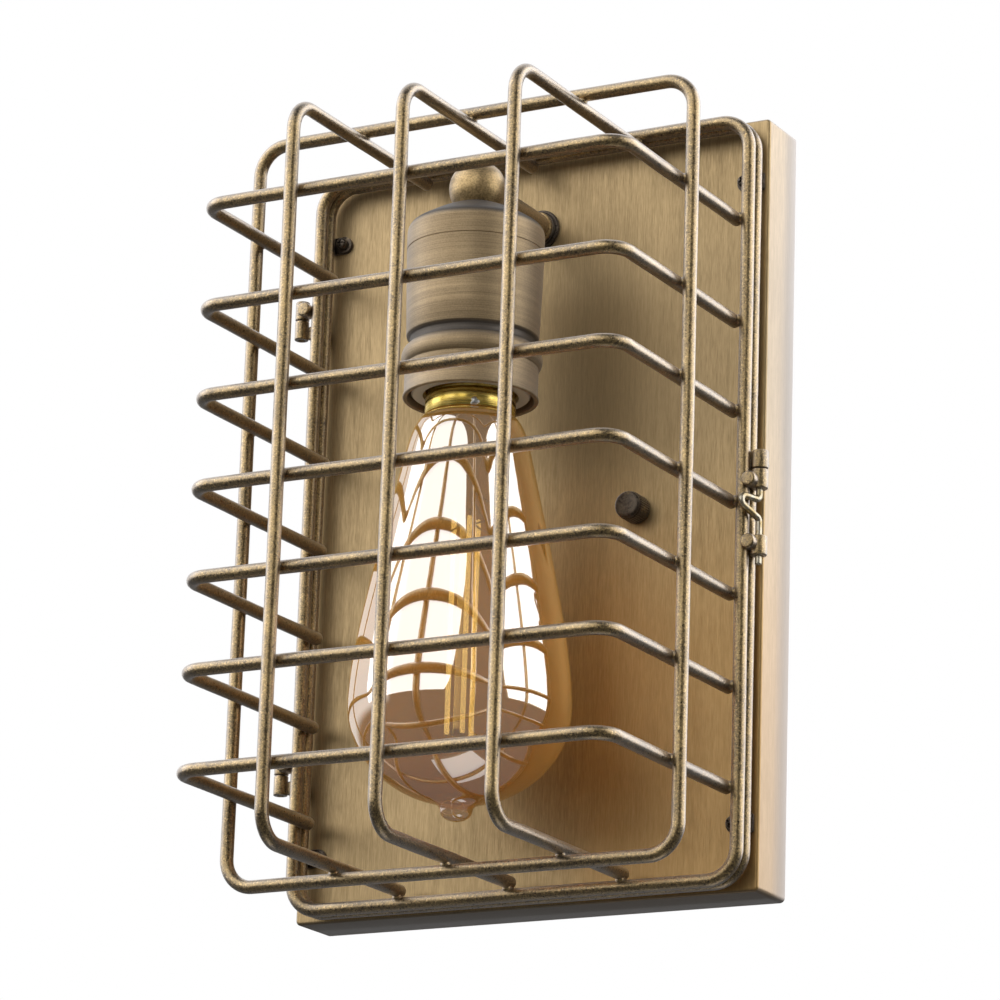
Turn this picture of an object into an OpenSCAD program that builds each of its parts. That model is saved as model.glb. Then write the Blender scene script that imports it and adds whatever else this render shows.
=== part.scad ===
// Cage wall light: a shallow metal pan on the wall, a lampholder hung from a ball elbow,
// a long clear bulb, and a hinged wire cage that closes with a sliding pin.
// Millimetres. X runs along the wall, Y into the wall, Z up.
// The origin is on the wall plane, at the middle of the crossbar that carries the light.

/* [Wall pan] */
// Width of the pan
pan_w = 152; // [146:1:190]
// Height of the pan
pan_h = 232; // [222:1:280]
// Depth of the pan, from the wall to its front face
pan_d = 18; // [16:0.5:30]
// Thickness of the pan's sheet
pan_t = 1.2; // [0.8:0.1:2]
// Width of the softened edge round the front face
pan_edge = 0.8; // [0.4:0.1:2]
// Radius of the pan's corners, seen from the front
pan_corner_r = 1.5; // [0.8:0.1:4]

/* [Cage wire] */
// Diameter of the wire of the frames, ring, hoops and uprights
wire_d = 4; // [3:0.1:4.6]
// Gap left where two wires are spot welded
weld_gap = 0.03; // [0.02:0.01:0.1]
// Bend radius at the corners of the frames and the ring, on the wire's centreline
frame_corner_r = 9; // [6:0.5:14]
// Bend radius of the hoops, on the wire's centreline
hoop_bend_r = 7; // [5:0.5:12]
// Bend radius of the uprights, on the wire's centreline
upright_bend_r = 9; // [5:0.5:14]

/* [Cage layout] */
// Margin between the pan's side and the frame wires
frame_side_margin = 1; // [0:0.1:4]
// Margin between the pan's top or bottom and the frame wires
frame_end_margin = 0.3; // [0:0.1:4]
// Gap between the fixed frame and the cage's base frame when the cage is shut
frame_gap = 0.4; // [0.3:0.1:0.9]
// Gap between the bulb and the front runs of the hoops
bulb_front_gap = 7.1; // [4:0.1:20]
// Drop from the top of the base frame to the first hoop
hoop_top_drop = 30.7; // [20:0.1:40]
// Spacing between the first and the second hoop
hoop_top_gap = 31.4; // [20:0.1:40]
// Rise from the bottom of the base frame to the last hoop
hoop_bottom_rise = 26.7; // [20:0.1:40]
// Spacing between the last two hoops
hoop_bottom_gap = 29.2; // [20:0.1:40]
// Spacing of the three uprights
upright_pitch = 36.6; // [25:0.1:50]

/* [Frame tabs and screws] */
// Thickness of the tabs that hold the fixed frame
tab_t = 1.2; // [0.8:0.1:2]
// Width of a tab
tab_w = 5.4; // [4.6:0.1:9]
// Distance from the frame wire's centre to the tab screw
tab_reach = 4.3; // [4:0.1:8]
// Distance from the pan's top or bottom edge to the tab screws
tab_inset = 19.7; // [15:0.1:30]
// Diameter of the tab screws
tab_screw_d = 2.4; // [2:0.1:2.6]
// Diameter of the heads of the tab screws
tab_head_d = 3.5; // [3.2:0.1:4]
// Height of the heads of the tab screws
tab_head_h = 2.5; // [1.2:0.1:3]
// Length of the tab screws under the head
tab_screw_len = 7; // [4:0.5:10]

/* [Hinges] */
// Outside diameter of the hinge knuckles
hinge_od = 4.4; // [4:0.1:5.4]
// Diameter of the hinge pins
hinge_pin_d = 2; // [1.6:0.1:2.4]
// Distance from the outside of the frame wire to the hinge axis
hinge_offset = 4.8; // [3:0.1:5.4]
// Length of one hinge knuckle
knuckle_len = 6; // [5:0.1:9]
// Gap between two knuckles on one pin
knuckle_gap = 0.2; // [0.1:0.05:0.5]
// Drop from the top of the frames to the upper hinge, where its knuckles meet
hinge_top_drop = 42.2; // [36:0.1:50]
// Rise from the bottom of the frames to the lower hinge, where its knuckles meet
hinge_low_rise = 42.3; // [36:0.1:50]
// Radial clearance of a pin that turns or slides in its hole
running_fit = 0.05; // [0.02:0.01:0.1]

/* [Latch] */
// Outside diameter of the latch tubes
latch_od = 5; // [4.4:0.1:5.6]
// Diameter of the latch pin's wire
latch_pin_d = 2; // [1.6:0.1:2.2]
// Gap between a latch tube and the frame wire that it isn't welded to
latch_gap = 0.15; // [0.1:0.05:1]
// Height where the keeper on the fixed frame meets the guide on the cage
latch_z = 6.1; // [0:0.1:20]
// Length of the keeper on the fixed frame
keeper_len = 5.4; // [4.5:0.1:8]
// Length of a guide on the cage
guide_len = 5.8; // [4.5:0.1:8]
// Height between the two guides
guide_spacing = 14.1; // [14:0.1:20]
// Depth that the pin reaches into the keeper when it is pushed up
latch_engage = 2; // [1.5:0.1:3]
// Reach of the thumb loop from the pin's axis, to the wire's centre
loop_reach = 7.6; // [6.5:0.1:9]
// Height of the thumb loop, between the centres of its two runs
loop_h = 5.6; // [5:0.1:6.5]
// Turn of the thumb loop from straight ahead towards the cage
loop_turn = 16; // [10:1:18]

/* [Arm and elbow] */
// Drop from the pan's top edge to the arm
arm_drop = 24.5; // [20:0.1:32]
// Distance from the wall to the lamp's axis
lamp_y = 57.3; // [54:0.1:75]
// Diameter of the arm
arm_d = 8.8; // [8.4:0.1:10]
// Diameter of the threaded end of the arm and of its nipple
thread_d = 7.8; // [6:0.1:8]
// Diameter of the way for the lamp's leads
wireway_d = 5.2; // [3:0.1:5.4]
// Diameter of the flange where the arm meets the pan
flange_d = 12.6; // [11:0.1:18]
// Thickness of that flange
flange_t = 2.2; // [1.5:0.1:4]
// Diameter of the ball elbow
ball_d = 17; // [15:0.1:22]
// Clearance of parts that are screwed or pushed together
seat_fit = 0.05; // [0.02:0.01:0.15]

/* [Lampholder] */
// Height of the cup, from its mouth to the rim of its dished top
holder_h = 59.8; // [56:0.1:66]
// Diameter of the cup's body at its shoulder
cup_d = 40.4; // [38:0.1:46]
// Narrowing of the body's radius from the shoulder to the groove
cup_taper = 0.8; // [0:0.1:1.5]
// Depth of the groove round the body
groove_depth = 0.9; // [0.4:0.1:1.2]
// How far the bead below the groove stands proud of the shoulder
bead_proud = 0.4; // [0:0.1:1.5]
// Wall of the cup
cup_t = 1; // [0.8:0.1:1.4]
// Depth of the insulator's face inside the mouth
insulator_inset = 1.2; // [0.5:0.1:4]

/* [Bulb] */
// Largest diameter of the glass
bulb_d = 64; // [60:0.5:66]
// Gap between the bulb's tip and the lower legs of the uprights
bulb_end_gap = 9.4; // [5:0.1:20]
// Height of the rounded bottom below the widest point
bulb_bottom_h = 28.3; // [20:0.1:32]
// Length of the sealed tip below the rounded bottom
bulb_nib_h = 4.9; // [2:0.1:9]
// Thickness of the glass
glass_t = 0.8; // [0.6:0.1:1.2]
// Diameter of the screw cap
screw_cap_d = 26; // [25.8:0.05:26.4]
// Number of filament rods
filament_count = 4; // [2:1:6]

/* [Fixings] */
// Distance between the two studs
stud_pitch = 70; // [66:0.5:74]
// Diameter of the studs
stud_d = 4; // [3.5:0.1:4.5]
// Length of the crossbar
crossbar_len = 110; // [104:1:130]
// Height of the crossbar
crossbar_h = 17; // [15:0.5:24]
// Thickness of the crossbar
crossbar_t = 1.6; // [1.2:0.1:3]
// Distance between the middles of the crossbar's slots
slot_pitch = 90; // [88:0.5:96]
// Length of a slot, end to end
slot_len = 10; // [6:0.5:12]
// Width of a slot
slot_w = 4.6; // [4:0.1:6]
// Diameter of the hole for the supply leads
lead_hole_d = 10.4; // [8:0.1:12]
// Diameter of the knurled nuts
knob_d = 8.6; // [7.4:0.1:12]
// Length of the knurled nuts
knob_len = 7.4; // [6:0.1:12]
// Number of ribs round a knurled nut
knurl_count = 36; // [24:2:48]
// Depth of those ribs
knurl_depth = 0.2; // [0.1:0.05:0.35]

/* [Hidden] */
$fn = 48;
cut = 1; // how far a cutting solid runs past what it cuts

// Frames, from the wall outwards. The room is at -Y.
wire_r = wire_d / 2;
front_y = -pan_d;
fixed_frame_y = front_y - tab_t - weld_gap - wire_r;
base_frame_y = fixed_frame_y - wire_d - frame_gap;
frame_half_w = pan_w / 2 - frame_side_margin - wire_r;
frame_half_h = pan_h / 2 - frame_end_margin - wire_r;
wire_pitch = wire_d + weld_gap; // two wires that touch, centre to centre
hoop_half_w = frame_half_w - wire_pitch;
hoop_y = -(lamp_y + bulb_d / 2 + bulb_front_gap + wire_r);
ring_y = (base_frame_y + hoop_y) / 2;
upright_half_h = frame_half_h - wire_pitch;
upright_y = hoop_y - wire_pitch;
leg_end_y = base_frame_y + wire_r;
pan_bevel = min(pan_edge, 1.2 * pan_t);

// Heights of the seven hoops. The five in the middle are evenly spaced.
hoop_first_z = frame_half_h - hoop_top_drop;
hoop_last_z = -frame_half_h + hoop_bottom_rise;
even_top_z = hoop_first_z - hoop_top_gap;
even_low_z = hoop_last_z + hoop_bottom_gap;
even_count = 5;
hoop_z = concat(
    [hoop_first_z],
    [for (i = [0 : even_count - 1])
        even_top_z + (even_low_z - even_top_z) * i / (even_count - 1)],
    [hoop_last_z]);

// The hinge and latch axes lie midway between the planes of the two frames.
swing_y = (fixed_frame_y + base_frame_y) / 2;
hinge_x = -(frame_half_w + wire_r + hinge_offset);
latch_x = frame_half_w + sqrt(pow(wire_r + latch_od / 2 + latch_gap, 2)
    - pow(wire_r + frame_gap / 2, 2));
hinge_top_z = frame_half_h - hinge_top_drop;
hinge_low_z = -frame_half_h + hinge_low_rise;
stub_d = 4.4; // weld stub that joins a knuckle or a guide to its wire
stub_low = stub_d / 2 + 0.05; // height of a stub that is flush with its tube's lower end
stub_proud = 0.9; // how far a stub of the cage stands in front of its wire
stub_split = 0.2; // from a stub's end to the plane midway between the frames
saddle_gap = 0.03; // between a stub and the wire that it is welded to
stub_front_y = base_frame_y - wire_r - stub_proud;
stub_back_y = front_y - 0.4;
hinge_stub_x = -(frame_half_w + wire_r + 1.8);
latch_stub_x = frame_half_w + wire_r + 0.7;
upper_guide_z = latch_z - knuckle_gap / 2 - guide_len;
lower_guide_z = upper_guide_z - guide_spacing - guide_len;

// Latch pin with its thumb loop. It is drawn just clear of the keeper, and its lift latches it.
pin_r = latch_pin_d / 2;
latch_lift = latch_engage + knuckle_gap;
loop_top_z = upper_guide_z - seat_fit - latch_lift - pin_r;
loop_tip_r = 2.4;
loop_foot_r = 1.6;
loop_neck_r = 1.4;
loop_foot_z = loop_top_z - loop_h;

// Arm, elbow and cup.
arm_z = pan_h / 2 - arm_drop;
arm_hole_d = thread_d + 0.5;
arm_seat = 0.65 * ball_d / 2; // from the ball's centre to the arm's end
nipple_seat = 0.3 * ball_d / 2; // from the ball's centre to the nipple's top
nut_h = 3.2;
nut_af = 12;
washer_h = 0.8;
thread_end = 3; // thread that shows past a nut
dish_r = 6.6; // rim of the dish in the cup's top, where the ball sits
cup_top_z = arm_z - sqrt(pow(ball_d / 2, 2) - pow(dish_r, 2));
mouth_z = cup_top_z - holder_h;
roof_z = cup_top_z - 3.4; // underside of the cup's top
cup_r = cup_d / 2;
waist_r = cup_r - cup_taper;
groove_r = waist_r - groove_depth;
bead_r = cup_r + bead_proud;
skirt_r = bead_r - 1.1;

// Insides of the lampholder.
shell_t = 0.5;
shell_r = screw_cap_d / 2 + 0.35;
insulator_r = groove_r - cup_t - 0.2;
insulator_neck_r = insulator_r - 1.35;
insulator_bore_r = shell_r + shell_t + 0.1;
insulator_z = mouth_z + insulator_inset;
bulb_rim_z = mouth_z - 5.1; // lower rim of the bulb's screw cap
bulb_tip_z = bulb_rim_z + 27; // contact on top of the bulb's screw cap
contact_z = bulb_tip_z + 0.1;
floor_z = contact_z + 2.4; // underside of the insulator's floor
floor_top_z = floor_z + 4;
insulator_top_z = floor_top_z + 7.6;
holder_cap_z = roof_z - nut_h - 2 * seat_fit; // top of the holder's cap
nipple_low_z = holder_cap_z - 5;

// Bulb.
bulb_r = bulb_d / 2;
bulb_end_z = bulb_end_gap + wire_r - upright_half_h;
bulb_round_z = bulb_end_z + bulb_nib_h; // where the rounded bottom ends
bulb_wide_z = bulb_round_z + bulb_bottom_h; // the widest point
neck_r = screw_cap_d / 2 - 0.7;
nib_r = 4.6; // radius of the sealed tip
press_z = bulb_rim_z - 17; // lower end of the stem's press
spider_top_z = bulb_rim_z - 31.3;
spider_low_z = bulb_wide_z - 7.4;
stem_rod_r = 1.6;
filament_r = 3.6;
filament_d = 1.5;

// Fixings.
knob_y = front_y - seat_fit;
stud_tip_y = front_y - knob_len + 1.8;
stud_hole_d = stud_d + 2 * seat_fit;
stud_nut_af = 7;
ground_x = stud_pitch / 4;
tab_screw_z = pan_h / 2 - tab_inset;
screw_hole_d = tab_screw_d + 2 * seat_fit;

// ---------------------------------------------------------------- lines and curves

function unit(v) = v / norm(v);
function turning(u, v) = atan2(u[0] * v[1] - u[1] * v[0], u * v);
function on_curve(p, t) = // a point of the cubic curve with four control points
    pow(1 - t, 3) * p[0] + 3 * t * pow(1 - t, 2) * p[1]
    + 3 * t * t * (1 - t) * p[2] + pow(t, 3) * p[3];
function curve(p, n) = [for (i = [1 : n]) on_curve(p, i / n)]; // without its first point
function arc(c, rx, ry, from, to, n) =
    [for (i = [0 : n]) let (a = from + (to - from) * i / n) c + [rx * cos(a), ry * sin(a)]];
function backwards(p) = [for (i = [len(p) - 1 : -1 : 0]) p[i]];
function inward(p, t) = // a line that goes down and then to the axis, moved towards the axis by t
    [for (i = [0 : len(p) - 1])
        let (d = unit(p[min(i + 1, len(p) - 1)] - p[max(i - 1, 0)]), q = p[i] + t * [d[1], -d[0]])
            [i == len(p) - 1 && p[i][0] == 0 ? 0 : max(q[0], 0), q[1]]];

// ---------------------------------------------------------------- wire

// One bend of a wire that lies in the XY plane: from, corner and to are points of its path.
module wire_bend(from, corner, to, r, d) {
    u = unit(corner - from);
    v = unit(to - corner);
    angle = turning(u, v);
    start = corner - u * r * tan(abs(angle) / 2);
    centre = start + sign(angle) * r * [-u[1], u[0]];
    first = atan2(start[1] - centre[1], start[0] - centre[0]);
    translate(centre)
        rotate(min(first, first + angle))
            rotate_extrude(angle = abs(angle))
                translate([r, 0])
                    circle(d = d);
}

// One straight run of the same wire, which starts and ends where its bends do.
module wire_run(from, to, skip_from, skip_to, d) {
    u = unit(to - from);
    translate(from + u * skip_from)
        rotate([0, 90, atan2(u[1], u[0])])
            cylinder(d = d, h = norm(to - from) - skip_from - skip_to);
}

// What a bend takes off the runs on both sides of its corner.
function bend_skip(from, corner, to, r) =
    r * tan(abs(turning(unit(corner - from), unit(to - corner))) / 2);

// A wire through the corners p, with the bend radius r[i] at the corner p[i].
module bent_wire(p, r, d, closed = false) {
    n = len(p);
    skips = [for (i = [0 : n - 1])
        !closed && (i == 0 || i == n - 1) ? 0
        : bend_skip(p[(i + n - 1) % n], p[i], p[(i + 1) % n], r[i])];
    for (i = [0 : closed ? n - 1 : n - 2])
        wire_run(p[i], p[(i + 1) % n], skips[i], skips[(i + 1) % n], d);
    for (i = [0 : n - 1])
        if (skips[i] > 0)
            wire_bend(p[(i + n - 1) % n], p[i], p[(i + 1) % n], r[i], d);
}

// A rounded rectangle of wire in a plane parallel to the wall.
module wire_frame(y) {
    w = frame_half_w;
    h = frame_half_h;
    translate([0, y, 0])
        rotate([90, 0, 0])
            bent_wire([[w, -h], [w, h], [-w, h], [-w, -h]], [for (i = [0 : 3]) frame_corner_r],
                wire_d, closed = true);
}

// A hoop round the front of the cage, with its two legs along the sides.
module hoop(i) {
    w = hoop_half_w;
    color("#8a744c")
        translate([0, 0, hoop_z[i]])
            bent_wire([[-w, leg_end_y], [-w, hoop_y], [w, hoop_y], [w, leg_end_y]],
                [0, hoop_bend_r, hoop_bend_r, 0], wire_d);
}

// An upright in front of the hoops, with its legs along the top and the bottom.
module upright(x) {
    h = upright_half_h;
    color("#92794c")
        translate([x, 0, 0])
            rotate([90, 0, 90])
                bent_wire([[leg_end_y, h], [upright_y, h], [upright_y, -h], [leg_end_y, -h]],
                    [0, upright_bend_r, upright_bend_r, 0], wire_d);
}

// A tube on an upright axis at x, with a weld stub that reaches a frame wire at its side.
module welded_tube(x, z, h, od, pin_d, stub_x, stub_z, stub_from_y, stub_to_y, wire_x, wire_y) {
    difference() {
        union() {
            translate([x, swing_y, z])
                cylinder(d = od, h = h);
            translate([stub_x, stub_to_y, z + stub_z])
                rotate([90, 0, 0])
                    cylinder(d = stub_d, h = stub_to_y - stub_from_y);
        }
        translate([x, swing_y, z - cut])
            cylinder(d = pin_d + 2 * running_fit, h = h + 2 * cut);
        translate([wire_x, wire_y, z - cut])
            cylinder(r = wire_r + saddle_gap, h = h + 2 * cut);
    }
}

// ---------------------------------------------------------------- small shapes

// A hexagon nut with a clear hole for a thread of diameter d.
module hex_nut(af, d, h) {
    difference() {
        cylinder(d = af / cos(30), h = h, $fn = 6);
        translate([0, 0, -cut])
            cylinder(d = d + 2 * seat_fit, h = h + 2 * cut);
    }
}

// Something drawn along +Z, placed at a point and turned to face the room.
module facing_room(x, y, z) {
    translate([x, y, z])
        rotate([90, 0, 0])
            children();
}

// Something drawn along the lamp's axis.
module on_lamp_axis(z = 0) {
    translate([0, -lamp_y, z])
        children();
}

// ---------------------------------------------------------------- wall pan and fixings

module pan_slice(shrink, h) {
    r = max(pan_corner_r - shrink, 0.3);
    x = pan_w / 2 - shrink - r;
    y = pan_h / 2 - shrink - r;
    hull()
        for (sx = [-1, 1], sy = [-1, 1])
            translate([sx * x, sy * y, 0])
                cylinder(r = r, h = h, $fn = 32);
}

module pan_body() {
    sliver = 0.01;
    pan_slice(0, pan_d - pan_bevel);
    hull() {
        translate([0, 0, pan_d - pan_bevel - sliver])
            pan_slice(0, sliver);
        translate([0, 0, pan_d - sliver])
            pan_slice(pan_bevel, sliver);
    }
}

// The places of the four tab screws, on the pan's front face.
module at_tab_screws() {
    for (sx = [-1, 1], sz = [-1, 1])
        facing_room(sx * (frame_half_w - tab_reach), front_y, sz * tab_screw_z)
            rotate(sx > 0 ? 0 : 180)
                children();
}

module wall_pan() {
    color("#9a8358")
        difference() {
            facing_room(0, 0, 0)
                difference() {
                    pan_body();
                    translate([-pan_w / 2 + pan_t, -pan_h / 2 + pan_t, -cut])
                        cube([pan_w - 2 * pan_t, pan_h - 2 * pan_t, pan_d - pan_t + cut]);
                }
            for (side = [-1, 1])
                facing_room(side * stud_pitch / 2, cut, 0)
                    cylinder(d = stud_d + 0.6, h = pan_d + 2 * cut);
            facing_room(0, cut, arm_z)
                cylinder(d = arm_hole_d, h = pan_d + 2 * cut);
            at_tab_screws()
                translate([0, 0, -pan_t - cut])
                    cylinder(d = screw_hole_d, h = pan_t + 2 * cut);
        }
}

module slot_cutter() {
    half = (slot_len - slot_w) / 2;
    for (side = [-1, 1])
        translate([side * half, 0, -cut])
            cylinder(d = slot_w, h = crossbar_t + 2 * cut);
    translate([-half, -slot_w / 2, -cut])
        cube([2 * half, slot_w, crossbar_t + 2 * cut]);
}

module crossbar() {
    color("#b9bbb8")
        facing_room(0, 0, 0)
            difference() {
                translate([-crossbar_len / 2, -crossbar_h / 2, 0])
                    cube([crossbar_len, crossbar_h, crossbar_t]);
                for (side = [-1, 1])
                    translate([side * slot_pitch / 2, 0, 0])
                        slot_cutter();
                for (x = [-stud_pitch / 2, ground_x, stud_pitch / 2])
                    translate([x, 0, -cut])
                        cylinder(d = stud_hole_d, h = crossbar_t + 2 * cut);
                translate([0, 0, -cut])
                    cylinder(d = lead_hole_d, h = crossbar_t + 2 * cut);
            }
}

module crossbar_studs() {
    color("#c9b27a")
        for (side = [-1, 1])
            facing_room(side * stud_pitch / 2, 0, 0)
                cylinder(d = stud_d, h = -stud_tip_y);
}

module stud_lock_nuts() {
    color("#b9bbb8")
        for (side = [-1, 1])
            facing_room(side * stud_pitch / 2, -crossbar_t, 0)
                hex_nut(stud_nut_af, stud_d, nut_h);
}

module ground_screw() {
    washer_t = 0.9;
    color("#3f7d4c")
        facing_room(ground_x, 0, 0) {
            cylinder(d = stud_d, h = crossbar_t + 0.1);
            translate([0, 0, crossbar_t])
                cylinder(d = stud_nut_af + 2, h = washer_t);
            translate([0, 0, crossbar_t + washer_t])
                cylinder(d = stud_nut_af / cos(30), h = 2.6, $fn = 6);
        }
}

// A knurled thumb nut: a ribbed barrel, a smooth rounded nose and a blind hole for the stud.
module knob(x) {
    nose = 1.5;
    barrel = knob_len - nose;
    rib_r = knob_d / 2;
    root_r = rib_r - knurl_depth;
    color("#3a332a")
        facing_room(x, knob_y, 0)
            difference() {
                union() {
                    linear_extrude(barrel)
                        polygon([for (i = [0 : 2 * knurl_count - 1])
                            let (a = 180 * i / knurl_count, r = i % 2 == 0 ? rib_r : root_r)
                                r * [cos(a), sin(a)]]);
                    translate([0, 0, barrel])
                        rotate_extrude()
                            polygon(concat([[0, 0], [root_r, 0]],
                                arc([root_r - 0.8, nose - 1], 0.8, 0.9, 0, 80, 6),
                                [[0, nose - seat_fit]]));
                }
                translate([0, 0, -cut])
                    cylinder(d = stud_d + 2 * running_fit, h = knob_len - 1.2 + cut);
            }
}

module knob_left() {
    knob(-stud_pitch / 2);
}

module knob_right() {
    knob(stud_pitch / 2);
}

// ---------------------------------------------------------------- arm and elbow

module arm_flange() {
    lip = 0.8;
    r = flange_d / 2;
    color("#7c6a4a")
        facing_room(0, front_y, arm_z)
            rotate_extrude()
                polygon(concat([[arm_hole_d / 2, 0], [r, 0]],
                    arc([r - lip, flange_t - lip], lip, lip, 0, 90, 5),
                    [[arm_hole_d / 2, flange_t]]));
}

module support_arm() {
    shoulder = pan_d + flange_t; // from the wall
    collar_h = 1.1;
    tail = pan_d - pan_t - washer_h - nut_h - thread_end; // inner end of the thread
    color("#8a744c")
        facing_room(0, 0, arm_z)
            difference() {
                union() {
                    translate([0, 0, tail])
                        cylinder(d = thread_d, h = shoulder - tail + collar_h);
                    translate([0, 0, shoulder])
                        cylinder(d = arm_d + 1.2, h = collar_h);
                    translate([0, 0, shoulder])
                        cylinder(d = arm_d, h = lamp_y - arm_seat - shoulder);
                }
                translate([0, 0, tail - cut])
                    cylinder(d = wireway_d, h = lamp_y);
            }
}

module arm_washer() {
    color("#b9bbb8")
        facing_room(0, front_y + pan_t + washer_h, arm_z)
            difference() {
                cylinder(d = nut_af + 3, h = washer_h);
                translate([0, 0, -cut])
                    cylinder(d = thread_d + 0.4, h = washer_h + 2 * cut);
            }
}

module arm_lock_nut() {
    color("#b9bbb8")
        facing_room(0, front_y + pan_t + washer_h + nut_h, arm_z)
            hex_nut(nut_af, thread_d, nut_h);
}

// The ball has a seat for the arm at its rear and one for the nipple below.
module ball_elbow() {
    color("#93793f")
        on_lamp_axis(arm_z)
            difference() {
                sphere(d = ball_d);
                ball_way(-90, arm_seat, arm_d);
                ball_way(180, nipple_seat, thread_d);
            }
}

module ball_way(turned, seat, d) {
    rotate([turned, 0, 0]) {
        cylinder(d = wireway_d, h = ball_d);
        translate([0, 0, seat - seat_fit])
            cylinder(d = d + 2 * seat_fit, h = ball_d);
    }
}

module holder_nipple() {
    top_z = arm_z - nipple_seat;
    color("#c9b27a")
        on_lamp_axis(nipple_low_z)
            difference() {
                cylinder(d = thread_d, h = top_z - nipple_low_z);
                translate([0, 0, -cut])
                    cylinder(d = wireway_d, h = top_z - nipple_low_z + 2 * cut);
            }
}

module nipple_nut() {
    color("#b9bbb8")
        on_lamp_axis(roof_z - nut_h - seat_fit)
            hex_nut(nut_af, thread_d, nut_h);
}

// ---------------------------------------------------------------- lampholder

// Outside line of the cup, from the dish under the ball down to the rolled lip.
function cup_outside() =
    let (top = cup_top_z, m = mouth_z)
    concat(
        [[dish_r, top], [dish_r + 0.8, top - 0.3]],
        arc([cup_r - 3.6, top - 9.2], 3.6, 3.6, 62, 0, 6),
        [[cup_r, top - 14.4], [cup_r - 0.15, top - 14.5]],
        [[cup_r - 0.15, top - 14.7], [cup_r, top - 14.8]],
        [[waist_r, m + 18.9], [groove_r, m + 18.1], [groove_r, m + 16.3]],
        arc([bead_r - 2.4, m + 12.4], 2.4, 3.2, 60, -40, 6),
        [[skirt_r, m + 9.6], [skirt_r, m + 1.4], [skirt_r + 0.35, m + 1]],
        [[skirt_r + 0.35, m + 0.2], [skirt_r + 0.1, m]]);

// Inside line of the cup, from the lip up to the hole for the nipple.
function cup_inside() =
    let (top = cup_top_z, m = mouth_z, t = cup_t)
    [[insulator_r - 0.2, m], [skirt_r - t, m + insulator_inset - 0.2], [skirt_r - t, m + 9.8],
        [bead_r - t, m + 12.4], [groove_r - t, m + 16.1], [groove_r - t, m + 18.4],
        [waist_r - t, m + 20], [cup_r - t, top - 10.4], [cup_r - t - 2.2, top - 7],
        [nut_af - 2.5, roof_z], [thread_d / 2 + seat_fit, roof_z]];

module socket_cup() {
    color("#8d7a58")
        on_lamp_axis()
            difference() {
                rotate_extrude()
                    polygon(concat([[thread_d / 2 + seat_fit, cup_top_z]], cup_outside(),
                        cup_inside()));
                translate([0, 0, arm_z])
                    sphere(d = ball_d + 2 * seat_fit);
            }
}

// Inner cap of the lampholder: screwed on the nipple, it carries the insulator.
module holder_cap() {
    r = insulator_r - 0.3;
    bore_r = thread_d / 2 + seat_fit;
    neck_r = 7.4;
    wall = 1;
    color("#b39a5e")
        on_lamp_axis()
            rotate_extrude()
                polygon([[bore_r, holder_cap_z], [neck_r, holder_cap_z], [neck_r, holder_cap_z - 3],
                    [r, insulator_top_z + 1.5], [r, insulator_top_z - 4],
                    [r - wall, insulator_top_z - 4], [r - wall, insulator_top_z + 0.9],
                    [neck_r - wall, holder_cap_z - 4], [bore_r, holder_cap_z - 4]]);
}

module socket_insulator() {
    chamber_r = 12;
    rivet_hole_r = 1.6;
    color("#e9e6dc")
        on_lamp_axis()
            rotate_extrude()
                polygon([[insulator_bore_r, insulator_z], [insulator_r - 0.4, insulator_z],
                    [insulator_r, insulator_z + 0.4], [insulator_r, insulator_z + 6],
                    [insulator_neck_r, insulator_z + 7.5], [insulator_neck_r, insulator_top_z],
                    [chamber_r, insulator_top_z], [chamber_r, floor_top_z],
                    [rivet_hole_r, floor_top_z], [rivet_hole_r, floor_z],
                    [insulator_bore_r, floor_z]]);
}

module socket_screw_shell() {
    top_z = floor_z - seat_fit;
    low_z = insulator_z + 1.5;
    flange_r = 8;
    color("#c8a85a")
        on_lamp_axis()
            rotate_extrude()
                polygon([[shell_r, low_z], [shell_r + shell_t, low_z], [shell_r + shell_t, top_z],
                    [flange_r, top_z], [flange_r, top_z - shell_t], [shell_r, top_z - shell_t]]);
}

// Contact for the tip of the bulb, riveted through the insulator's floor.
module centre_contact() {
    color("#c8a85a")
        on_lamp_axis() {
            translate([0, 0, contact_z])
                cylinder(r = 4, h = 0.6);
            translate([0, 0, contact_z + 0.6])
                cylinder(r = 1.5, h = floor_top_z + seat_fit - contact_z - 0.6);
            translate([0, 0, floor_top_z + seat_fit])
                cylinder(r = 3, h = 0.8);
        }
}

// ---------------------------------------------------------------- frame on the pan

module fixed_frame() {
    color("#7d6942")
        wire_frame(fixed_frame_y);
}

module frame_tabs() {
    tongue = tab_reach + 0.8 * wire_r;
    color("#5d5038")
        at_tab_screws()
            difference() {
                union() {
                    cylinder(d = tab_w, h = tab_t);
                    translate([0, -tab_w / 2, 0])
                        cube([tongue, tab_w, tab_t]);
                }
                translate([0, 0, -cut])
                    cylinder(d = screw_hole_d, h = tab_t + 2 * cut);
            }
}

module frame_screws() {
    r = tab_head_d / 2;
    point = 1.5;
    shank = tab_screw_len - point;
    color("#4c4030")
        at_tab_screws()
            translate([0, 0, tab_t]) {
                rotate_extrude()
                    polygon(concat([[0, 0], [r, 0]], arc([0, 0.5], r, tab_head_h - 0.5, 0, 90, 8)));
                translate([0, 0, -shank])
                    cylinder(d = tab_screw_d, h = shank);
                translate([0, 0, -tab_screw_len])
                    cylinder(d1 = 0.6, d2 = tab_screw_d, h = point);
            }
}

module hinge_tube(z, stub_from_y, stub_to_y, wire_y) {
    welded_tube(hinge_x, z, knuckle_len, hinge_od, hinge_pin_d, hinge_stub_x, stub_low,
        stub_from_y, stub_to_y, -frame_half_w, wire_y);
}

module latch_tube(z, h, stub_z, stub_from_y, stub_to_y, wire_y) {
    welded_tube(latch_x, z, h, latch_od, latch_pin_d, latch_stub_x, stub_z,
        stub_from_y, stub_to_y, frame_half_w, wire_y);
}

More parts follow.
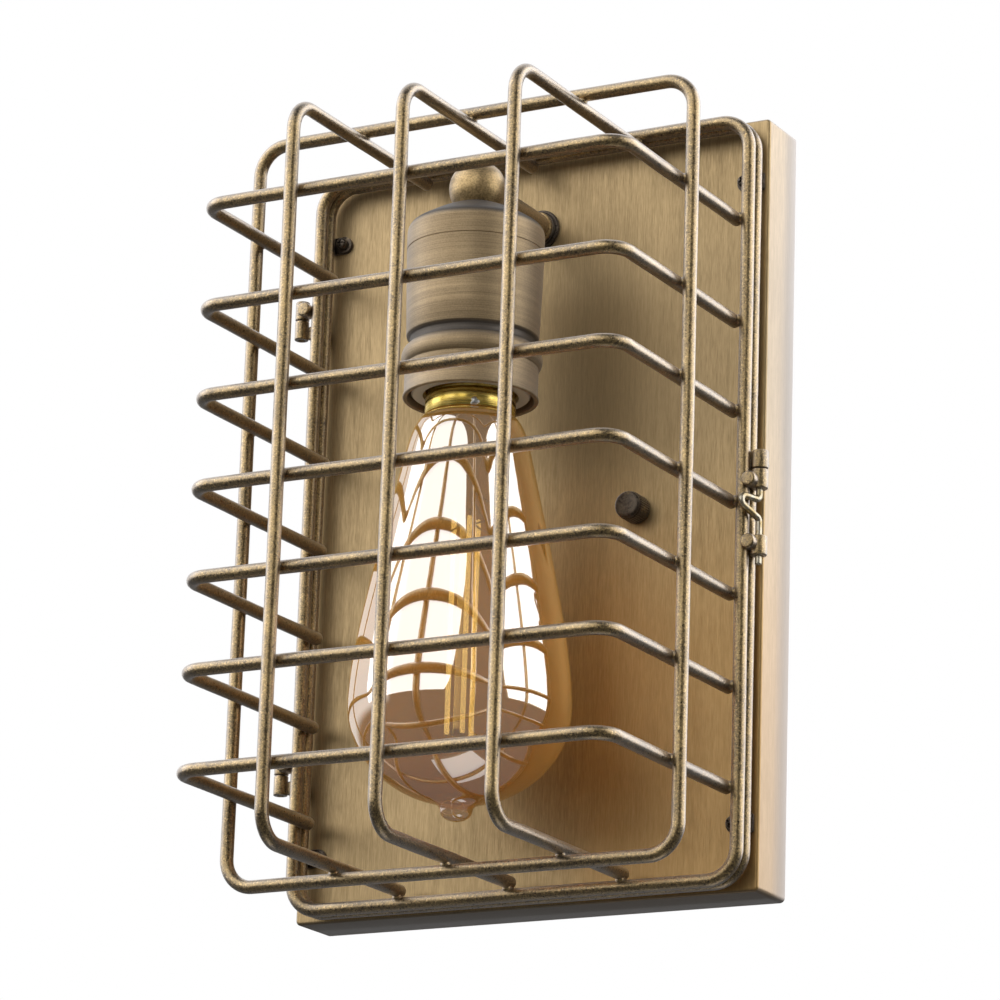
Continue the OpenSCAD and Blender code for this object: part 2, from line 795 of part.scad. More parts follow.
module fixed_hinge_knuckles() {
    color("#7d6942")
        for (z = [hinge_top_z, hinge_low_z])
            hinge_tube(z - knuckle_gap / 2 - knuckle_len, swing_y + stub_split, stub_back_y,
                fixed_frame_y);
}

module hinge_pins() {
    recess = 0.3;
    h = 2 * knuckle_len + knuckle_gap - 2 * recess;
    color("#8d8468")
        for (z = [hinge_top_z, hinge_low_z])
            translate([hinge_x, swing_y, z - h / 2])
                cylinder(d = hinge_pin_d, h = h);
}

module latch_keeper() {
    color("#7d6942")
        latch_tube(latch_z + knuckle_gap / 2, keeper_len, stub_low, swing_y + stub_split,
            stub_back_y, fixed_frame_y);
}

// ---------------------------------------------------------------- cage

module cage_base_frame() {
    color("#8a744c")
        wire_frame(base_frame_y);
}

module cage_mid_ring() {
    color("#8a744c")
        wire_frame(ring_y);
}

module cage_hinge_knuckles() {
    color("#8a744c")
        for (z = [hinge_top_z, hinge_low_z])
            hinge_tube(z + knuckle_gap / 2, stub_front_y, swing_y - stub_split, base_frame_y);
}

module latch_guides() {
    stub_high = guide_len - stub_low; // the lower guide's stub is flush with its top
    color("#8a744c")
        for (at = [[upper_guide_z, stub_low], [lower_guide_z, stub_high]])
            latch_tube(at[0], guide_len, at[1], stub_front_y, swing_y - stub_split, base_frame_y);
}

// The latch pin: one wire, with a closed thumb loop between the two guides.
module latch_pin() {
    low_z = lower_guide_z - latch_lift - 0.6;
    top_z = upper_guide_z + guide_len;
    color("#a89a74")
        translate([latch_x, swing_y, 0])
            rotate([90, 0, -(90 + loop_turn)])
                bent_wire([[0, low_z], [0, loop_foot_z], [loop_reach, loop_foot_z],
                    [loop_reach, loop_top_z], [0, loop_top_z], [0, top_z]],
                    [0, loop_foot_r, loop_tip_r, loop_tip_r, loop_neck_r, 0], latch_pin_d);
}

// ---------------------------------------------------------------- bulb

// Outside of the neck and body, from inside the screw cap round the bottom to the angle last.
function glass_body(last) =
    let (top = bulb_rim_z, r = bulb_r, wide = bulb_wide_z, step = 5,
        shoulder = [neck_r + 6.2, top - 12.4])
    concat(
        [[neck_r, top + 14], [neck_r, top]],
        curve([[neck_r, top], [neck_r + 3.3, top - 0.6], [shoulder[0] - 1.3, top - 6.7],
            shoulder], 8),
        curve([shoulder, shoulder + [5.8, -25.8], [r, wide + 17.1], [r, wide]], 14),
        arc([0, wide], r, bulb_bottom_h, -step, -last, last / step - 1));

// The sealed tip, which leaves the rounded bottom in a hollow curve and ends in a solid drop.
function glass_tip(from, slope) =
    let (low = bulb_round_z, end = low - 0.4 * bulb_nib_h)
    concat(
        curve([from, from + 3.5 * slope, [nib_r + 0.2, low + 0.4], [nib_r, end]], 5),
        arc([0, end], nib_r, bulb_end_z - end, 15, 90, 5));

module bulb_glass() {
    leave = 70; // angle round the bottom where the tip begins
    body = glass_body(leave);
    slope = unit(-[bulb_r * sin(leave), bulb_bottom_h * cos(leave)]);
    color("#d8b070", 0.5)
        on_lamp_axis()
            rotate_extrude()
                polygon(concat(body, glass_tip(body[len(body) - 1], slope),
                    backwards(inward(glass_body(90), glass_t))));
}

module bulb_screw_cap() {
    r = screw_cap_d / 2;
    z = bulb_rim_z;
    wall = 0.4;
    crown_r = 7.2;
    outside = [[r + 0.2, z], [r + 0.2, z + 2.5], [r, z + 3.5], [r, z + 20.5], [r - 0.8, z + 22],
        [crown_r, z + 24.2]];
    inside = [for (p = outside) p - [p[0] > crown_r ? wall : 0, p[1] > z ? wall : 0]];
    color("#d9b860")
        on_lamp_axis()
            rotate_extrude()
                polygon(concat(outside, backwards(inside)));
}

module bulb_cap_insulator() {
    z = bulb_rim_z;
    color("#2b2622")
        on_lamp_axis()
            rotate_extrude()
                polygon([[0, z + 22.6], [7.1, z + 22.6], [7.1, z + 24.4], [4.9, z + 26.3],
                    [0, z + 26.3]]);
}

module bulb_contact() {
    h = 0.65;
    color("#b8b4aa")
        on_lamp_axis(bulb_tip_z - h)
            cylinder(r1 = 4.7, r2 = 2.6, h = h);
}

// Glass stem: a flare that closes the neck, a solid press and a rod down the middle.
module bulb_stem() {
    z = bulb_rim_z;
    flare_r = neck_r - glass_t - 0.2;
    color("#c9ab7c")
        on_lamp_axis()
            rotate_extrude()
                polygon([[flare_r - 1.6, z + 12], [flare_r, z + 12], [5.2, z - 2],
                    [5, press_z + 6], [2.4, press_z], [stem_rod_r, press_z - 3],
                    [stem_rod_r, spider_low_z - 2], [0, spider_low_z - 2],
                    [0, press_z + 2], [3.8, press_z + 7], [4, z - 1]]);
}

// Two hubs on the stem's rod, with one wire to each filament rod.
module bulb_supports() {
    hub_h = 1.6;
    support_d = 0.5;
    color("#b8b4aa")
        for (z = [spider_top_z, spider_low_z])
            on_lamp_axis(z) {
                difference() {
                    cylinder(r = stem_rod_r + 0.5, h = hub_h, center = true);
                    cylinder(r = stem_rod_r + seat_fit, h = hub_h + cut, center = true);
                }
                for (i = [0 : filament_count - 1])
                    rotate([0, 90, 45 + 360 * i / filament_count])
                        translate([0, 0, stem_rod_r + 0.2])
                            cylinder(d = support_d, h = filament_r - filament_d / 2
                                - stem_rod_r - 0.2 - seat_fit);
            }
}

module bulb_filament() {
    color("#e0a030")
        for (i = [0 : filament_count - 1])
            on_lamp_axis(spider_low_z - 1)
                rotate(45 + 360 * i / filament_count)
                    translate([filament_r, 0, 0])
                        cylinder(d = filament_d, h = spider_top_z - spider_low_z + 2);
}

wall_pan();
crossbar();
crossbar_studs();
stud_lock_nuts();
ground_screw();
arm_flange();
support_arm();
arm_washer();
arm_lock_nut();
ball_elbow();
holder_nipple();
nipple_nut();
socket_cup();
holder_cap();
socket_insulator();
socket_screw_shell();
centre_contact();
fixed_frame();
frame_tabs();
frame_screws();
fixed_hinge_knuckles();
hinge_pins();
latch_keeper();
knob_left();
knob_right();
cage_base_frame();
cage_mid_ring();
hoop(0);  // cage_hoop_1
hoop(1);  // cage_hoop_2
hoop(2);  // cage_hoop_3
hoop(3);  // cage_hoop_4
hoop(4);  // cage_hoop_5
hoop(5);  // cage_hoop_6
hoop(6);  // cage_hoop_7
upright(-upright_pitch);  // cage_upright_left
upright(0);  // cage_upright_centre
upright(upright_pitch);  // cage_upright_right
cage_hinge_knuckles();
latch_guides();
latch_pin();
bulb_glass();
bulb_screw_cap();
bulb_cap_insulator();
bulb_contact();
bulb_stem();
bulb_supports();
bulb_filament();
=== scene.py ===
import math

import bmesh
import bpy
import numpy as np
from mathutils import Matrix, Vector


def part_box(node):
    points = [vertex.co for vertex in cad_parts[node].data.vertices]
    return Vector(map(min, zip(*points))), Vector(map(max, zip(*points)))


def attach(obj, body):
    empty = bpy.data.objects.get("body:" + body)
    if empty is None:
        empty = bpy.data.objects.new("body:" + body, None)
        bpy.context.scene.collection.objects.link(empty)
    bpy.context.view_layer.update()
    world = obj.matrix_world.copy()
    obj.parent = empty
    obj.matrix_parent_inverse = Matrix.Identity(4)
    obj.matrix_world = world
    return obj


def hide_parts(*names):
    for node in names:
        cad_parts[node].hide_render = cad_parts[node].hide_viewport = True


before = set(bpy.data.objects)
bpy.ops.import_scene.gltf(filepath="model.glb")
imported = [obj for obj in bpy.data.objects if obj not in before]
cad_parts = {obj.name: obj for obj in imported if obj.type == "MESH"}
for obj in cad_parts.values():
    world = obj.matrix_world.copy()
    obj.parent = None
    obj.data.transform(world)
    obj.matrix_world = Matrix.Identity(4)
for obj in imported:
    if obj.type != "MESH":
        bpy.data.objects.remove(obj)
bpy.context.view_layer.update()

bl_info = {
    "name": "Cage Wall Light",
    "version": (1, 0, 0),
    "blender": (4, 5, 0),
    "location": "View3D > Sidebar > Wall Light",
    "description": "Builds a wall light with a hinged wire cage round a long clear bulb",
    "category": "Add Mesh",
}

MM = 0.001


def box_mm(node):
    """Lowest and highest corner of a CAD node, in millimetres."""
    lo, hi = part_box(node)
    return np.array(lo) / MM, np.array(hi) / MM


PAN_LO, PAN_HI = box_mm("wall_pan")
HOOP_LO, HOOP_HI = box_mm("cage_hoop_1")
BASE_HI = box_mm("cage_base_frame")[1]
PINS_LO, PINS_HI = box_mm("hinge_pins")
CUP_LO, CUP_HI = box_mm("socket_cup")
BALL_LO, BALL_HI = box_mm("ball_elbow")
GLASS_LO, GLASS_HI = box_mm("bulb_glass")
LAMP_Y = (CUP_LO[1] + CUP_HI[1]) / 2
ARM_Z = BALL_HI[2] - (BALL_HI[0] - BALL_LO[0]) / 2
SWING_Y = (PINS_LO[1] + PINS_HI[1]) / 2
WIRE_R = (HOOP_HI[2] - HOOP_LO[2]) / 2
FRONT_Y = PAN_LO[1]
KNUCKLE = 6.0  # length of a hinge knuckle
GUIDE = 5.8  # length of a latch guide
TUBE_BORE = 2.1  # bore of the knuckles, the guides and the keeper
SCREW_HEAD_R = 1.75  # radius of a tab screw's head
HOOPS = [f"cage_hoop_{i}" for i in range(1, 8)]
UPRIGHTS = ["cage_upright_left", "cage_upright_centre", "cage_upright_right"]


# ------------------------------------------------------------------ settings


def length(name, description, mm, lo, hi):
    return bpy.props.FloatProperty(name=name, description=description, default=mm * MM, min=lo * MM,
                                   max=hi * MM, precision=5, subtype="DISTANCE", unit="LENGTH")


def colour(name, description, rgb):
    return bpy.props.FloatVectorProperty(name=name, description=description, default=rgb, size=3,
                                         min=0, max=1, subtype="COLOR")


def share(name, description, value, hi=1.0):
    return bpy.props.FloatProperty(name=name, description=description, default=value, min=0,
                                   max=hi, subtype="FACTOR" if hi == 1.0 else "NONE")


class WireSettings(bpy.types.PropertyGroup):
    frame_bend: length("Frame bend", "Bend radius at the corners of the frames", 9, 6, 14)
    hoop_bend: length("Hoop bend", "Bend radius of the hoops", 7, 5, 12)
    upright_bend: length("Upright bend", "Bend radius of the uprights", 9, 5, 14)
    waver: length("Waver", "How far a run strays from a straight line", 0.16, 0, 0.3)
    sides: bpy.props.IntProperty(name="Sides", description="Faces round a wire", default=20, min=8,
                                 max=32)


class BulbSettings(bpy.types.PropertyGroup):
    bottom: length("Bottom", "Height of the rounded bottom under the widest point", 28.3, 20, 32)
    tip: length("Tip", "Length of the sealed tip", 4.9, 2, 9)
    wall: length("Glass wall", "Thickness of the glass", 0.8, 0.6, 1.2)
    strands: bpy.props.IntProperty(name="Rods", description="Filament rods in the bulb", default=4,
                                   min=2, max=6)


class FinishSettings(bpy.types.PropertyGroup):
    wire: colour("Wire", "Antique gold of the wires", (0.385, 0.275, 0.13))
    wire_dark: colour("Wire, dark", "Dark grain of the wires", (0.15, 0.112, 0.065))
    pan: colour("Pan", "Brushed brass of the pan", (0.47, 0.335, 0.165))
    pan_dark: colour("Pan, dark", "Dark brush lines of the pan", (0.30, 0.21, 0.095))
    cup: colour("Cup", "Turned brass of the lampholder", (0.47, 0.345, 0.195))
    # Painted reflection: blue-grey painted on the cup's dome where it reflects dark surroundings;
    # the same dark is painted into the groove.
    cup_reflection_and_groove: colour("Cup, dark", "Blue-grey patina of the dome and groove", (0.075, 0.074, 0.078))
    bronze: colour("Bronze", "Dark bronze of knobs, tabs and screws", (0.105, 0.082, 0.06))
    glass: colour("Glass", "Tint of the bulb's glass", (0.97, 0.86, 0.62))
    coat: colour("Amber coat", "Amber coat of the glass, strongest at its rim", (1.0, 0.62, 0.16))
    # Colour of the painted sheen: a painted reflection of the pale surroundings, mixed into the
    # base colour where metal is seen at a low angle.
    edge: colour("Edge sheen", "Pale lacquer sheen that metal shows at a low angle",
                 (0.82, 0.79, 0.80))


class StageSettings(bpy.types.PropertyGroup):
    key: share("Key light", "Brightness of the soft light at the front left", 1.7, 8)
    side: share("Side light", "Brightness of the soft light at the right", 2.2, 8)
    ambient: share("Ambient", "Grey of the surroundings at the front right and below", 0.12)
    floor_drop: length("Floor drop", "Depth of the floor under the pan", 1500, 100, 2000)


SETTINGS = {"wall_light_wires": WireSettings, "wall_light_bulb": BulbSettings,
            "wall_light_finish": FinishSettings, "wall_light_stage": StageSettings}


# ------------------------------------------------------------------ shapes


def grid(points, close_u=False, close_v=False):
    """Vertices and four-sided faces of a grid of points: each face joins a point to the next in
    its row and in its column, and a closed direction joins its last line to its first."""
    nu, nv = points.shape[:2]
    i, j = np.meshgrid(np.arange(nu if close_u else nu - 1), np.arange(nv if close_v else nv - 1),
                       indexing="ij")
    i2, j2 = (i + 1) % nu, (j + 1) % nv
    faces = np.stack([i * nv + j, i2 * nv + j, i2 * nv + j2, i * nv + j2], -1)
    return points.reshape(-1, 3), faces.reshape(-1, 4)


def copies(part, offsets):
    """The part once at each offset: every vertex plus every offset."""
    points, faces = part
    offsets = np.asarray(offsets, float).reshape(-1, 3)
    start = np.arange(len(offsets))[:, None, None] * len(points)
    return (offsets[:, None] + points[None]).reshape(-1, 3), (start + faces[None]).reshape(-1, 4)


def ring_axes(along):
    """Two unit directions square to an axis and to each other."""
    along = np.asarray(along, float)
    side = np.cross([0, 0, 1], along) if abs(along[2]) < 0.9 else np.array([1.0, 0, 0])
    side /= np.linalg.norm(side)
    return side, np.cross(along, side)


def turned(profile, origin, along=(0, 0, 1), count=72, radius=None, squash=None):
    """A turned form: the profile's radius goes round the axis in equal steps, its height runs
    along it. radius may be a function of the angle, the profile's radius and its height that
    gives the radius there, and squash flattens each row."""
    profile = np.asarray(profile, float)
    angle = np.arange(count) * 2 * np.pi / count
    r = np.repeat(profile[:, :1], count, 1)
    if radius is not None:
        r = radius(angle[None], profile[:, :1], profile[:, 1:])
    side, up = ring_axes(along)
    flat = np.ones(len(profile)) if squash is None else np.asarray(squash, float)
    points = (np.asarray(origin, float) + profile[:, 1, None, None] * np.asarray(along, float)
              + (r * np.cos(angle))[..., None] * side
              + (r * np.sin(angle) * flat[:, None])[..., None] * up)
    return grid(points, close_v=True)


def arc(centre, rx, ry, start, end, steps):
    """Points of an ellipse's arc: the centre plus the radii times cosine and sine."""
    a = np.radians(np.linspace(start, end, steps + 1))
    return np.stack([centre[0] + rx * np.cos(a), centre[1] + ry * np.sin(a)], 1)


def curve(a, b, c, d, steps):
    """Points of a cubic curve with four control points, without its first."""
    t = np.linspace(0, 1, steps + 1)[1:, None]
    a, b, c, d = (np.asarray(p, float) for p in (a, b, c, d))
    return (1 - t) ** 3 * a + 3 * t * (1 - t) ** 2 * b + 3 * t * t * (1 - t) * c + t ** 3 * d


def inset(line, t):
    """The line moved towards the axis by t, square to its own direction."""
    d = np.gradient(line, axis=0)
    d /= np.linalg.norm(d, axis=1)[:, None]
    moved = line + t * np.stack([d[:, 1], -d[:, 0]], 1)
    moved[:, 0] = np.maximum(moved[:, 0], 0)
    moved[-1, 0] = 0 if line[-1, 0] < 1e-6 else moved[-1, 0]
    return moved


def bent_path(corners, radii, closed=False, spacing=3.0):
    """Centre line of a bent wire in a plane: straight runs between the corners, and at each
    corner an arc of its radius, tangent to both runs."""
    p = np.asarray(corners, float)
    n = len(p)
    runs, arcs = [], []
    for i in range(n):
        u = p[i] - p[i - 1]
        v = p[(i + 1) % n] - p[i]
        u, v = u / np.linalg.norm(u), v / np.linalg.norm(v)
        r = radii[i]
        if r == 0 or (not closed and i in (0, n - 1)):
            arcs.append(p[i][None])
            continue
        turn = math.atan2(u[0] * v[1] - u[1] * v[0], u @ v)
        start = p[i] - u * r * math.tan(abs(turn) / 2)
        centre = start + math.copysign(r, turn) * np.array([-u[1], u[0]])
        first = math.atan2(*(start - centre)[::-1])
        a = first + turn * np.linspace(0, 1, max(6, int(abs(turn) * 12)))
        arcs.append(centre + r * np.stack([np.cos(a), np.sin(a)], 1))
    for i in range(n if closed else n - 1):
        a, b = arcs[i][-1], arcs[(i + 1) % n][0]
        steps = max(1, int(np.linalg.norm(b - a) / spacing))
        t = np.linspace(0, 1, steps + 1)[1:-1, None]
        runs += [arcs[i], a + (b - a) * t]
    if not closed:
        runs.append(arcs[-1])
    return np.concatenate(runs)


def wire(path, place, radius, closed=False, sides=20, waver=0.0, phase=0.0, cap=0.9):
    """A round wire along a path in a plane. place turns the plane's two numbers and its height
    into a point. Each ring is the path plus cosine times its normal and sine times the plane's
    own normal. The run strays inwards by waver times a slow wave, and open ends are domed over
    the length cap."""
    step = np.roll(path, -1, 0) - path if closed else np.diff(path, axis=0, append=path[-1:])
    s = np.concatenate([[0], np.cumsum(np.linalg.norm(step, axis=1))])
    total, s = s[-1], s[:-1]
    d = (np.roll(path, -1, 0) - np.roll(path, 1, 0)) if closed else np.gradient(path, axis=0)
    d /= np.linalg.norm(d, axis=1)[:, None]
    normal = np.stack([-d[:, 1], d[:, 0]], 1)
    k = 2 * np.pi * s / total
    wave = (np.sin(5 * k + phase) + 0.6 * np.sin(11 * k + 2.1 * phase) + 1.6) / 3.2
    centre = path + normal * (waver * wave)[:, None]
    scale = np.ones(len(centre))
    if not closed:
        rings = 6
        a = np.radians(np.linspace(90, 0, rings))[:, None]
        lead = centre[0] + d[0] * (cap * (1 - np.sin(a)))
        tail = centre[-1] - d[-1] * (cap * (1 - np.sin(a[::-1])))
        centre = np.concatenate([lead, centre[1:-1], tail])
        normal = np.concatenate([np.repeat(normal[:1], rings, 0), normal[1:-1],
                                 np.repeat(normal[-1:], rings, 0)])
        round_off = np.sqrt(np.maximum(0, 1 - np.sin(a[:, 0]) ** 2)) ** 0.8
        scale = np.concatenate([round_off, scale[1:-1], round_off[::-1]])
    t = np.arange(sides) * 2 * np.pi / sides
    flat = centre[:, None] + normal[:, None] * (radius * scale[:, None] * np.cos(t))[..., None]
    height = radius * scale[:, None] * np.sin(t)
    return grid(place(flat[..., 0], flat[..., 1], height), close_u=closed, close_v=True)


def rounded_box_ring(half_w, half_h, r, steps=6):
    """Points round a rectangle whose corners are arcs of radius r."""
    a = np.radians(np.linspace(0, 90, steps + 1))
    corner = np.stack([np.cos(a), np.sin(a)], 1) * r
    quarter = corner + [half_w - r, half_h - r]
    flip = quarter[::-1]
    return np.concatenate([quarter, flip * [-1, 1], quarter * [-1, -1], flip * [1, -1]])


def welded_tube(x, y, z, h, outer, bore, stub_x, stub_from, stub_to, stub_z=2.25, stub_d=4.4):
    """A short tube on an upright axis with softened ends, and the round weld stub beside it. The
    stub is a closed form of its own, whose inner end reaches into the tube's bore."""
    ro, ri, soft, nick, count = outer / 2, bore / 2, 0.35, 0.15, 40
    wall = np.concatenate([[[ri, nick], [ri + nick, 0]],
                           arc((ro - soft, soft), soft, soft, -90, 0, 4),
                           arc((ro - soft, h - soft), soft, soft, 0, 90, 4),
                           [[ri + nick, h], [ri, h - nick]]])
    points, faces = turned(wall, (x, y, z), count=count)
    ring, last = np.arange(count), (len(wall) - 1) * count
    after = (ring + 1) % count
    close = np.stack([ring, after, after + last, ring + last], 1)
    r, reach, edge, dent = stub_d / 2, stub_to - stub_from, 0.6, 0.18
    stub = np.concatenate([[[0, dent]], arc((r - edge, edge), edge, edge, -80, 0, 4),
                           arc((r - edge, reach - edge), edge, edge, 0, 80, 4),
                           [[0, reach - dent]]])
    return [(points, np.concatenate([faces, close])),
            turned(stub, (stub_x, stub_from, z + stub_z), (0, 1, 0), count)]


def add_piece(name, parts, body, material, nodes=(), sharp=35.0):
    """A new object from parts in millimetres: doubles are merged, so poles and seams close, and
    faces are turned outwards. It rides on a body and stands for the CAD nodes."""
    start, points, faces = 0, [], []
    for p, f in parts:
        points.append(p)
        faces.append(f + start)
        start += len(p)
    mesh = bpy.data.meshes.new(name)
    mesh.from_pydata(np.concatenate(points) * MM, [], np.concatenate(faces).tolist())
    shape = bmesh.new()
    shape.from_mesh(mesh)
    bmesh.ops.remove_doubles(shape, verts=shape.verts, dist=1e-7)
    bmesh.ops.recalc_face_normals(shape, faces=shape.faces)
    shape.to_mesh(mesh)
    shape.free()
    mesh.polygons.foreach_set("use_smooth", np.ones(len(mesh.polygons), bool))
    mesh.set_sharp_from_angle(angle=math.radians(sharp))
    mesh.materials.append(material)
    piece = bpy.data.objects.new(name, mesh)
    bpy.context.scene.collection.objects.link(piece)
    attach(piece, body)
    if nodes:
        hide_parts(*nodes)
    return piece


def dress(material, *nodes):
    """Gives CAD nodes that stay a new material in their own slots."""
    for name in nodes:
        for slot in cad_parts[name].material_slots:
            slot.material = material


# ------------------------------------------------------------------ materials


class Value:
    """A socket on its way through a material. Arithmetic on it adds Math nodes."""

    def __init__(self, paint, socket):
        self.paint = paint
        self.socket = socket

    def maths(self, operation, first, second):
        return self.paint.node("ShaderNodeMath", {"operation": operation}, {0: first, 1: second})

    def __add__(self, other):
        return self.maths("ADD", self, other)

    def __sub__(self, other):
        return self.maths("SUBTRACT", self, other)

    def __rsub__(self, other):
        return self.maths("SUBTRACT", other, self)

    def __mul__(self, other):
        return self.maths("MULTIPLY", self, other)

    def __pow__(self, other):
        return self.maths("POWER", self, other)

    __radd__ = __add__
    __rmul__ = __mul__


class Paint:
    """A node tree that is filled one node at a time."""

    def __init__(self, tree):
        self.tree = tree
        tree.nodes.clear()

    def node(self, kind, settings=None, inputs=None, output=0):
        """Adds a node: its settings first, then the values or links of its sockets."""
        made = self.tree.nodes.new(kind)
        for key, value in (settings or {}).items():
            setattr(made, key, value)
        for key, value in (inputs or {}).items():
            if isinstance(value, Value):
                self.tree.links.new(value.socket, made.inputs[key])
            else:
                made.inputs[key].default_value = value
        return Value(self, made.outputs[output]) if made.outputs else made

    def place(self, scale=(1, 1, 1), shift=(0, 0, 0)):
        """Object coordinates, scaled and shifted."""
        where = self.node("ShaderNodeTexCoord", output=3)
        return self.node("ShaderNodeMapping", {}, {"Vector": where, "Location": shift,
                                                   "Scale": scale})

    def noise(self, scale, detail=2.0, rough=0.5, stretch=(1, 1, 1), twist=0.0, shift=(0, 0, 0)):
        return self.node("ShaderNodeTexNoise", {}, {
            "Vector": self.place(stretch, shift), "Scale": scale, "Detail": detail,
            "Roughness": rough, "Distortion": twist})

    def fade(self, value, start, end, low=0.0, high=1.0):
        """low before start, high past end, and a smooth change between them."""
        return self.node("ShaderNodeMapRange", {"interpolation_type": "SMOOTHSTEP"},
                         {0: value, 1: start, 2: end, 3: low, 4: high})

    def mix(self, factor, a, b, blend="MIX"):
        a, b = ((*c, 1) if isinstance(c, tuple) and len(c) == 3 else c for c in (a, b))
        return self.node("ShaderNodeMix", {"data_type": "RGBA", "blend_type": blend},
                         {0: factor, 6: a, 7: b}, output=2)

    def along(self, axis):
        """The point's distance along x, y or z (0, 1 or 2), in metres."""
        where = self.node("ShaderNodeTexCoord", output=3)
        return self.node("ShaderNodeSeparateXYZ", {}, {0: where}, output=axis)

    def sheen(self, base, strength, power=2.0):
        """The base colour with a painted sheen: it grows towards the pale edge colour where the
        surface turns away from the eye, and stands in for the lacquer's reflection of the pale
        surroundings at a low angle."""
        facing = self.node("ShaderNodeLayerWeight", {}, {"Blend": 0.5}, output=1)
        return self.mix(strength * facing ** power, base, shade(colours().edge))

    def bump(self, height, strength, distance):
        return self.node("ShaderNodeBump", {}, {"Height": height, "Strength": strength,
                                                "Distance": distance})

    def surface(self, **sockets):
        """A Principled surface, or the shader given as shader=, on the material's output."""
        shader = sockets.pop("shader", None)
        if shader is None:
            named = {key.replace("_", " ").title(): value for key, value in sockets.items()}
            shader = self.node("ShaderNodeBsdfPrincipled", {}, named)
        self.node("ShaderNodeOutputMaterial", {}, {"Surface": shader})

    def coat(self, base, metallic, grain, rough, relief, **sockets):
        """A surface whose roughness goes with the grain from the first to the second number of
        rough, and whose bump has the height, strength and distance of relief."""
        self.surface(base_color=base, metallic=metallic, normal=self.bump(*relief),
                     roughness=self.fade(grain, 0.3, 0.7, *rough), **sockets)


def colours():
    """The settings of the finishes."""
    return bpy.context.scene.wall_light_finish


def shade(colour, level=1.0):
    """A colour as three numbers, times the level and at most 1."""
    return tuple(min(1, c * level) for c in colour)


def antique_wire(p):
    """Antique gold over dark brass: fine bright grains, cloudy patina and a few dark pits."""
    s = colours()
    cloud = p.noise(90, 3, 0.6)
    grain = p.noise(1500, 4, 0.7)
    fleck = p.fade(p.noise(1900, 3, 0.65, shift=(7, 5, 1)), 0.52, 0.66)
    pit = p.fade(p.noise(700, 3, 0.6, shift=(3, 1, 2)), 0.68, 0.74)
    pale = shade(s.wire, 2.3)
    base = p.mix(p.fade(cloud * 0.35 + grain * 0.65, 0.38, 0.62), shade(s.wire_dark), shade(s.wire))
    base = p.mix(fleck * 0.55, base, pale)
    base = p.mix(pit * 0.85, base, shade(s.wire_dark, 0.3))
    # Painted sheen: pale where the wire turns away from the eye.
    base = p.sheen(base, 0.9, 1.6)
    height = grain * 0.7 + fleck * 0.3 - pit * 0.8
    p.coat(base, 1.0, grain, (0.26, 0.42), (height, 0.5, 0.00010))


def brushed_pan(p):
    """Brushed brass lacquer: fine short upright lines, painted shade over a patch at the upper
    right, a painted amber glow below it that stands for light through the amber bulb, a painted
    sheen, and a dark painted shade on the underside."""
    s = colours()
    hair = p.noise(1, 3, 0.65, stretch=(3400, 3400, 240))
    line = p.noise(1, 3, 0.6, stretch=(1300, 1300, 60), shift=(2, 0, 1))
    broad = p.noise(1, 2, 0.5, stretch=(170, 170, 7), shift=(5, 2, 3))
    cloud = p.noise(16, 3, 0.55)
    tone = hair * 0.50 + line * 0.28 + broad * 0.10 + cloud * 0.12
    base = p.mix(p.fade(tone, 0.34, 0.66), shade(s.pan_dark), shade(s.pan))
    nick = p.fade(p.noise(1, 2, 0.5, stretch=(1500, 1500, 160), shift=(9, 1, 4)), 0.70, 0.80)
    base = p.mix(nick * 0.4, base, shade(s.pan_dark, 0.5))
    x, z = p.along(0), p.along(2)
    # Painted shade: the front is darkened over a band towards its upper right.
    painted_shade = p.fade(x, -0.05, 0.03) * p.fade(z, 0.10, 0.06) * p.fade(z, 0.0, 0.03)
    base = p.mix(0.4 * painted_shade, base, shade(s.pan, 0.55))
    # Painted light: an amber glow painted on the lower right of the pan, standing in for light that
    # shines through the amber bulb.
    warm = p.fade(x, 0.01, 0.03) * p.fade(z, 0.02, -0.05)
    base = p.mix(0.5 * warm, base, tuple(c * k for c, k in zip(s.pan, (0.95, 0.75, 0.45))))
    # Painted sheen: pale where the pan turns away from the eye, as on its right face.
    base = p.sheen(base, 0.78)
    # Painted shade: the pan's bottom face is painted dark and grey because it faces away from the
    # lights.
    low = PAN_LO[2] * MM
    underside_painted_shade = (0.08, 0.07, 0.062)
    base = p.mix(p.fade(z, low + 0.0008, low + 0.0003, 0.0, 0.6), base, underside_painted_shade)
    p.coat(base, 0.8, tone, (0.5, 0.36), (hair * 0.6 + line * 0.4, 0.35, 0.00006))


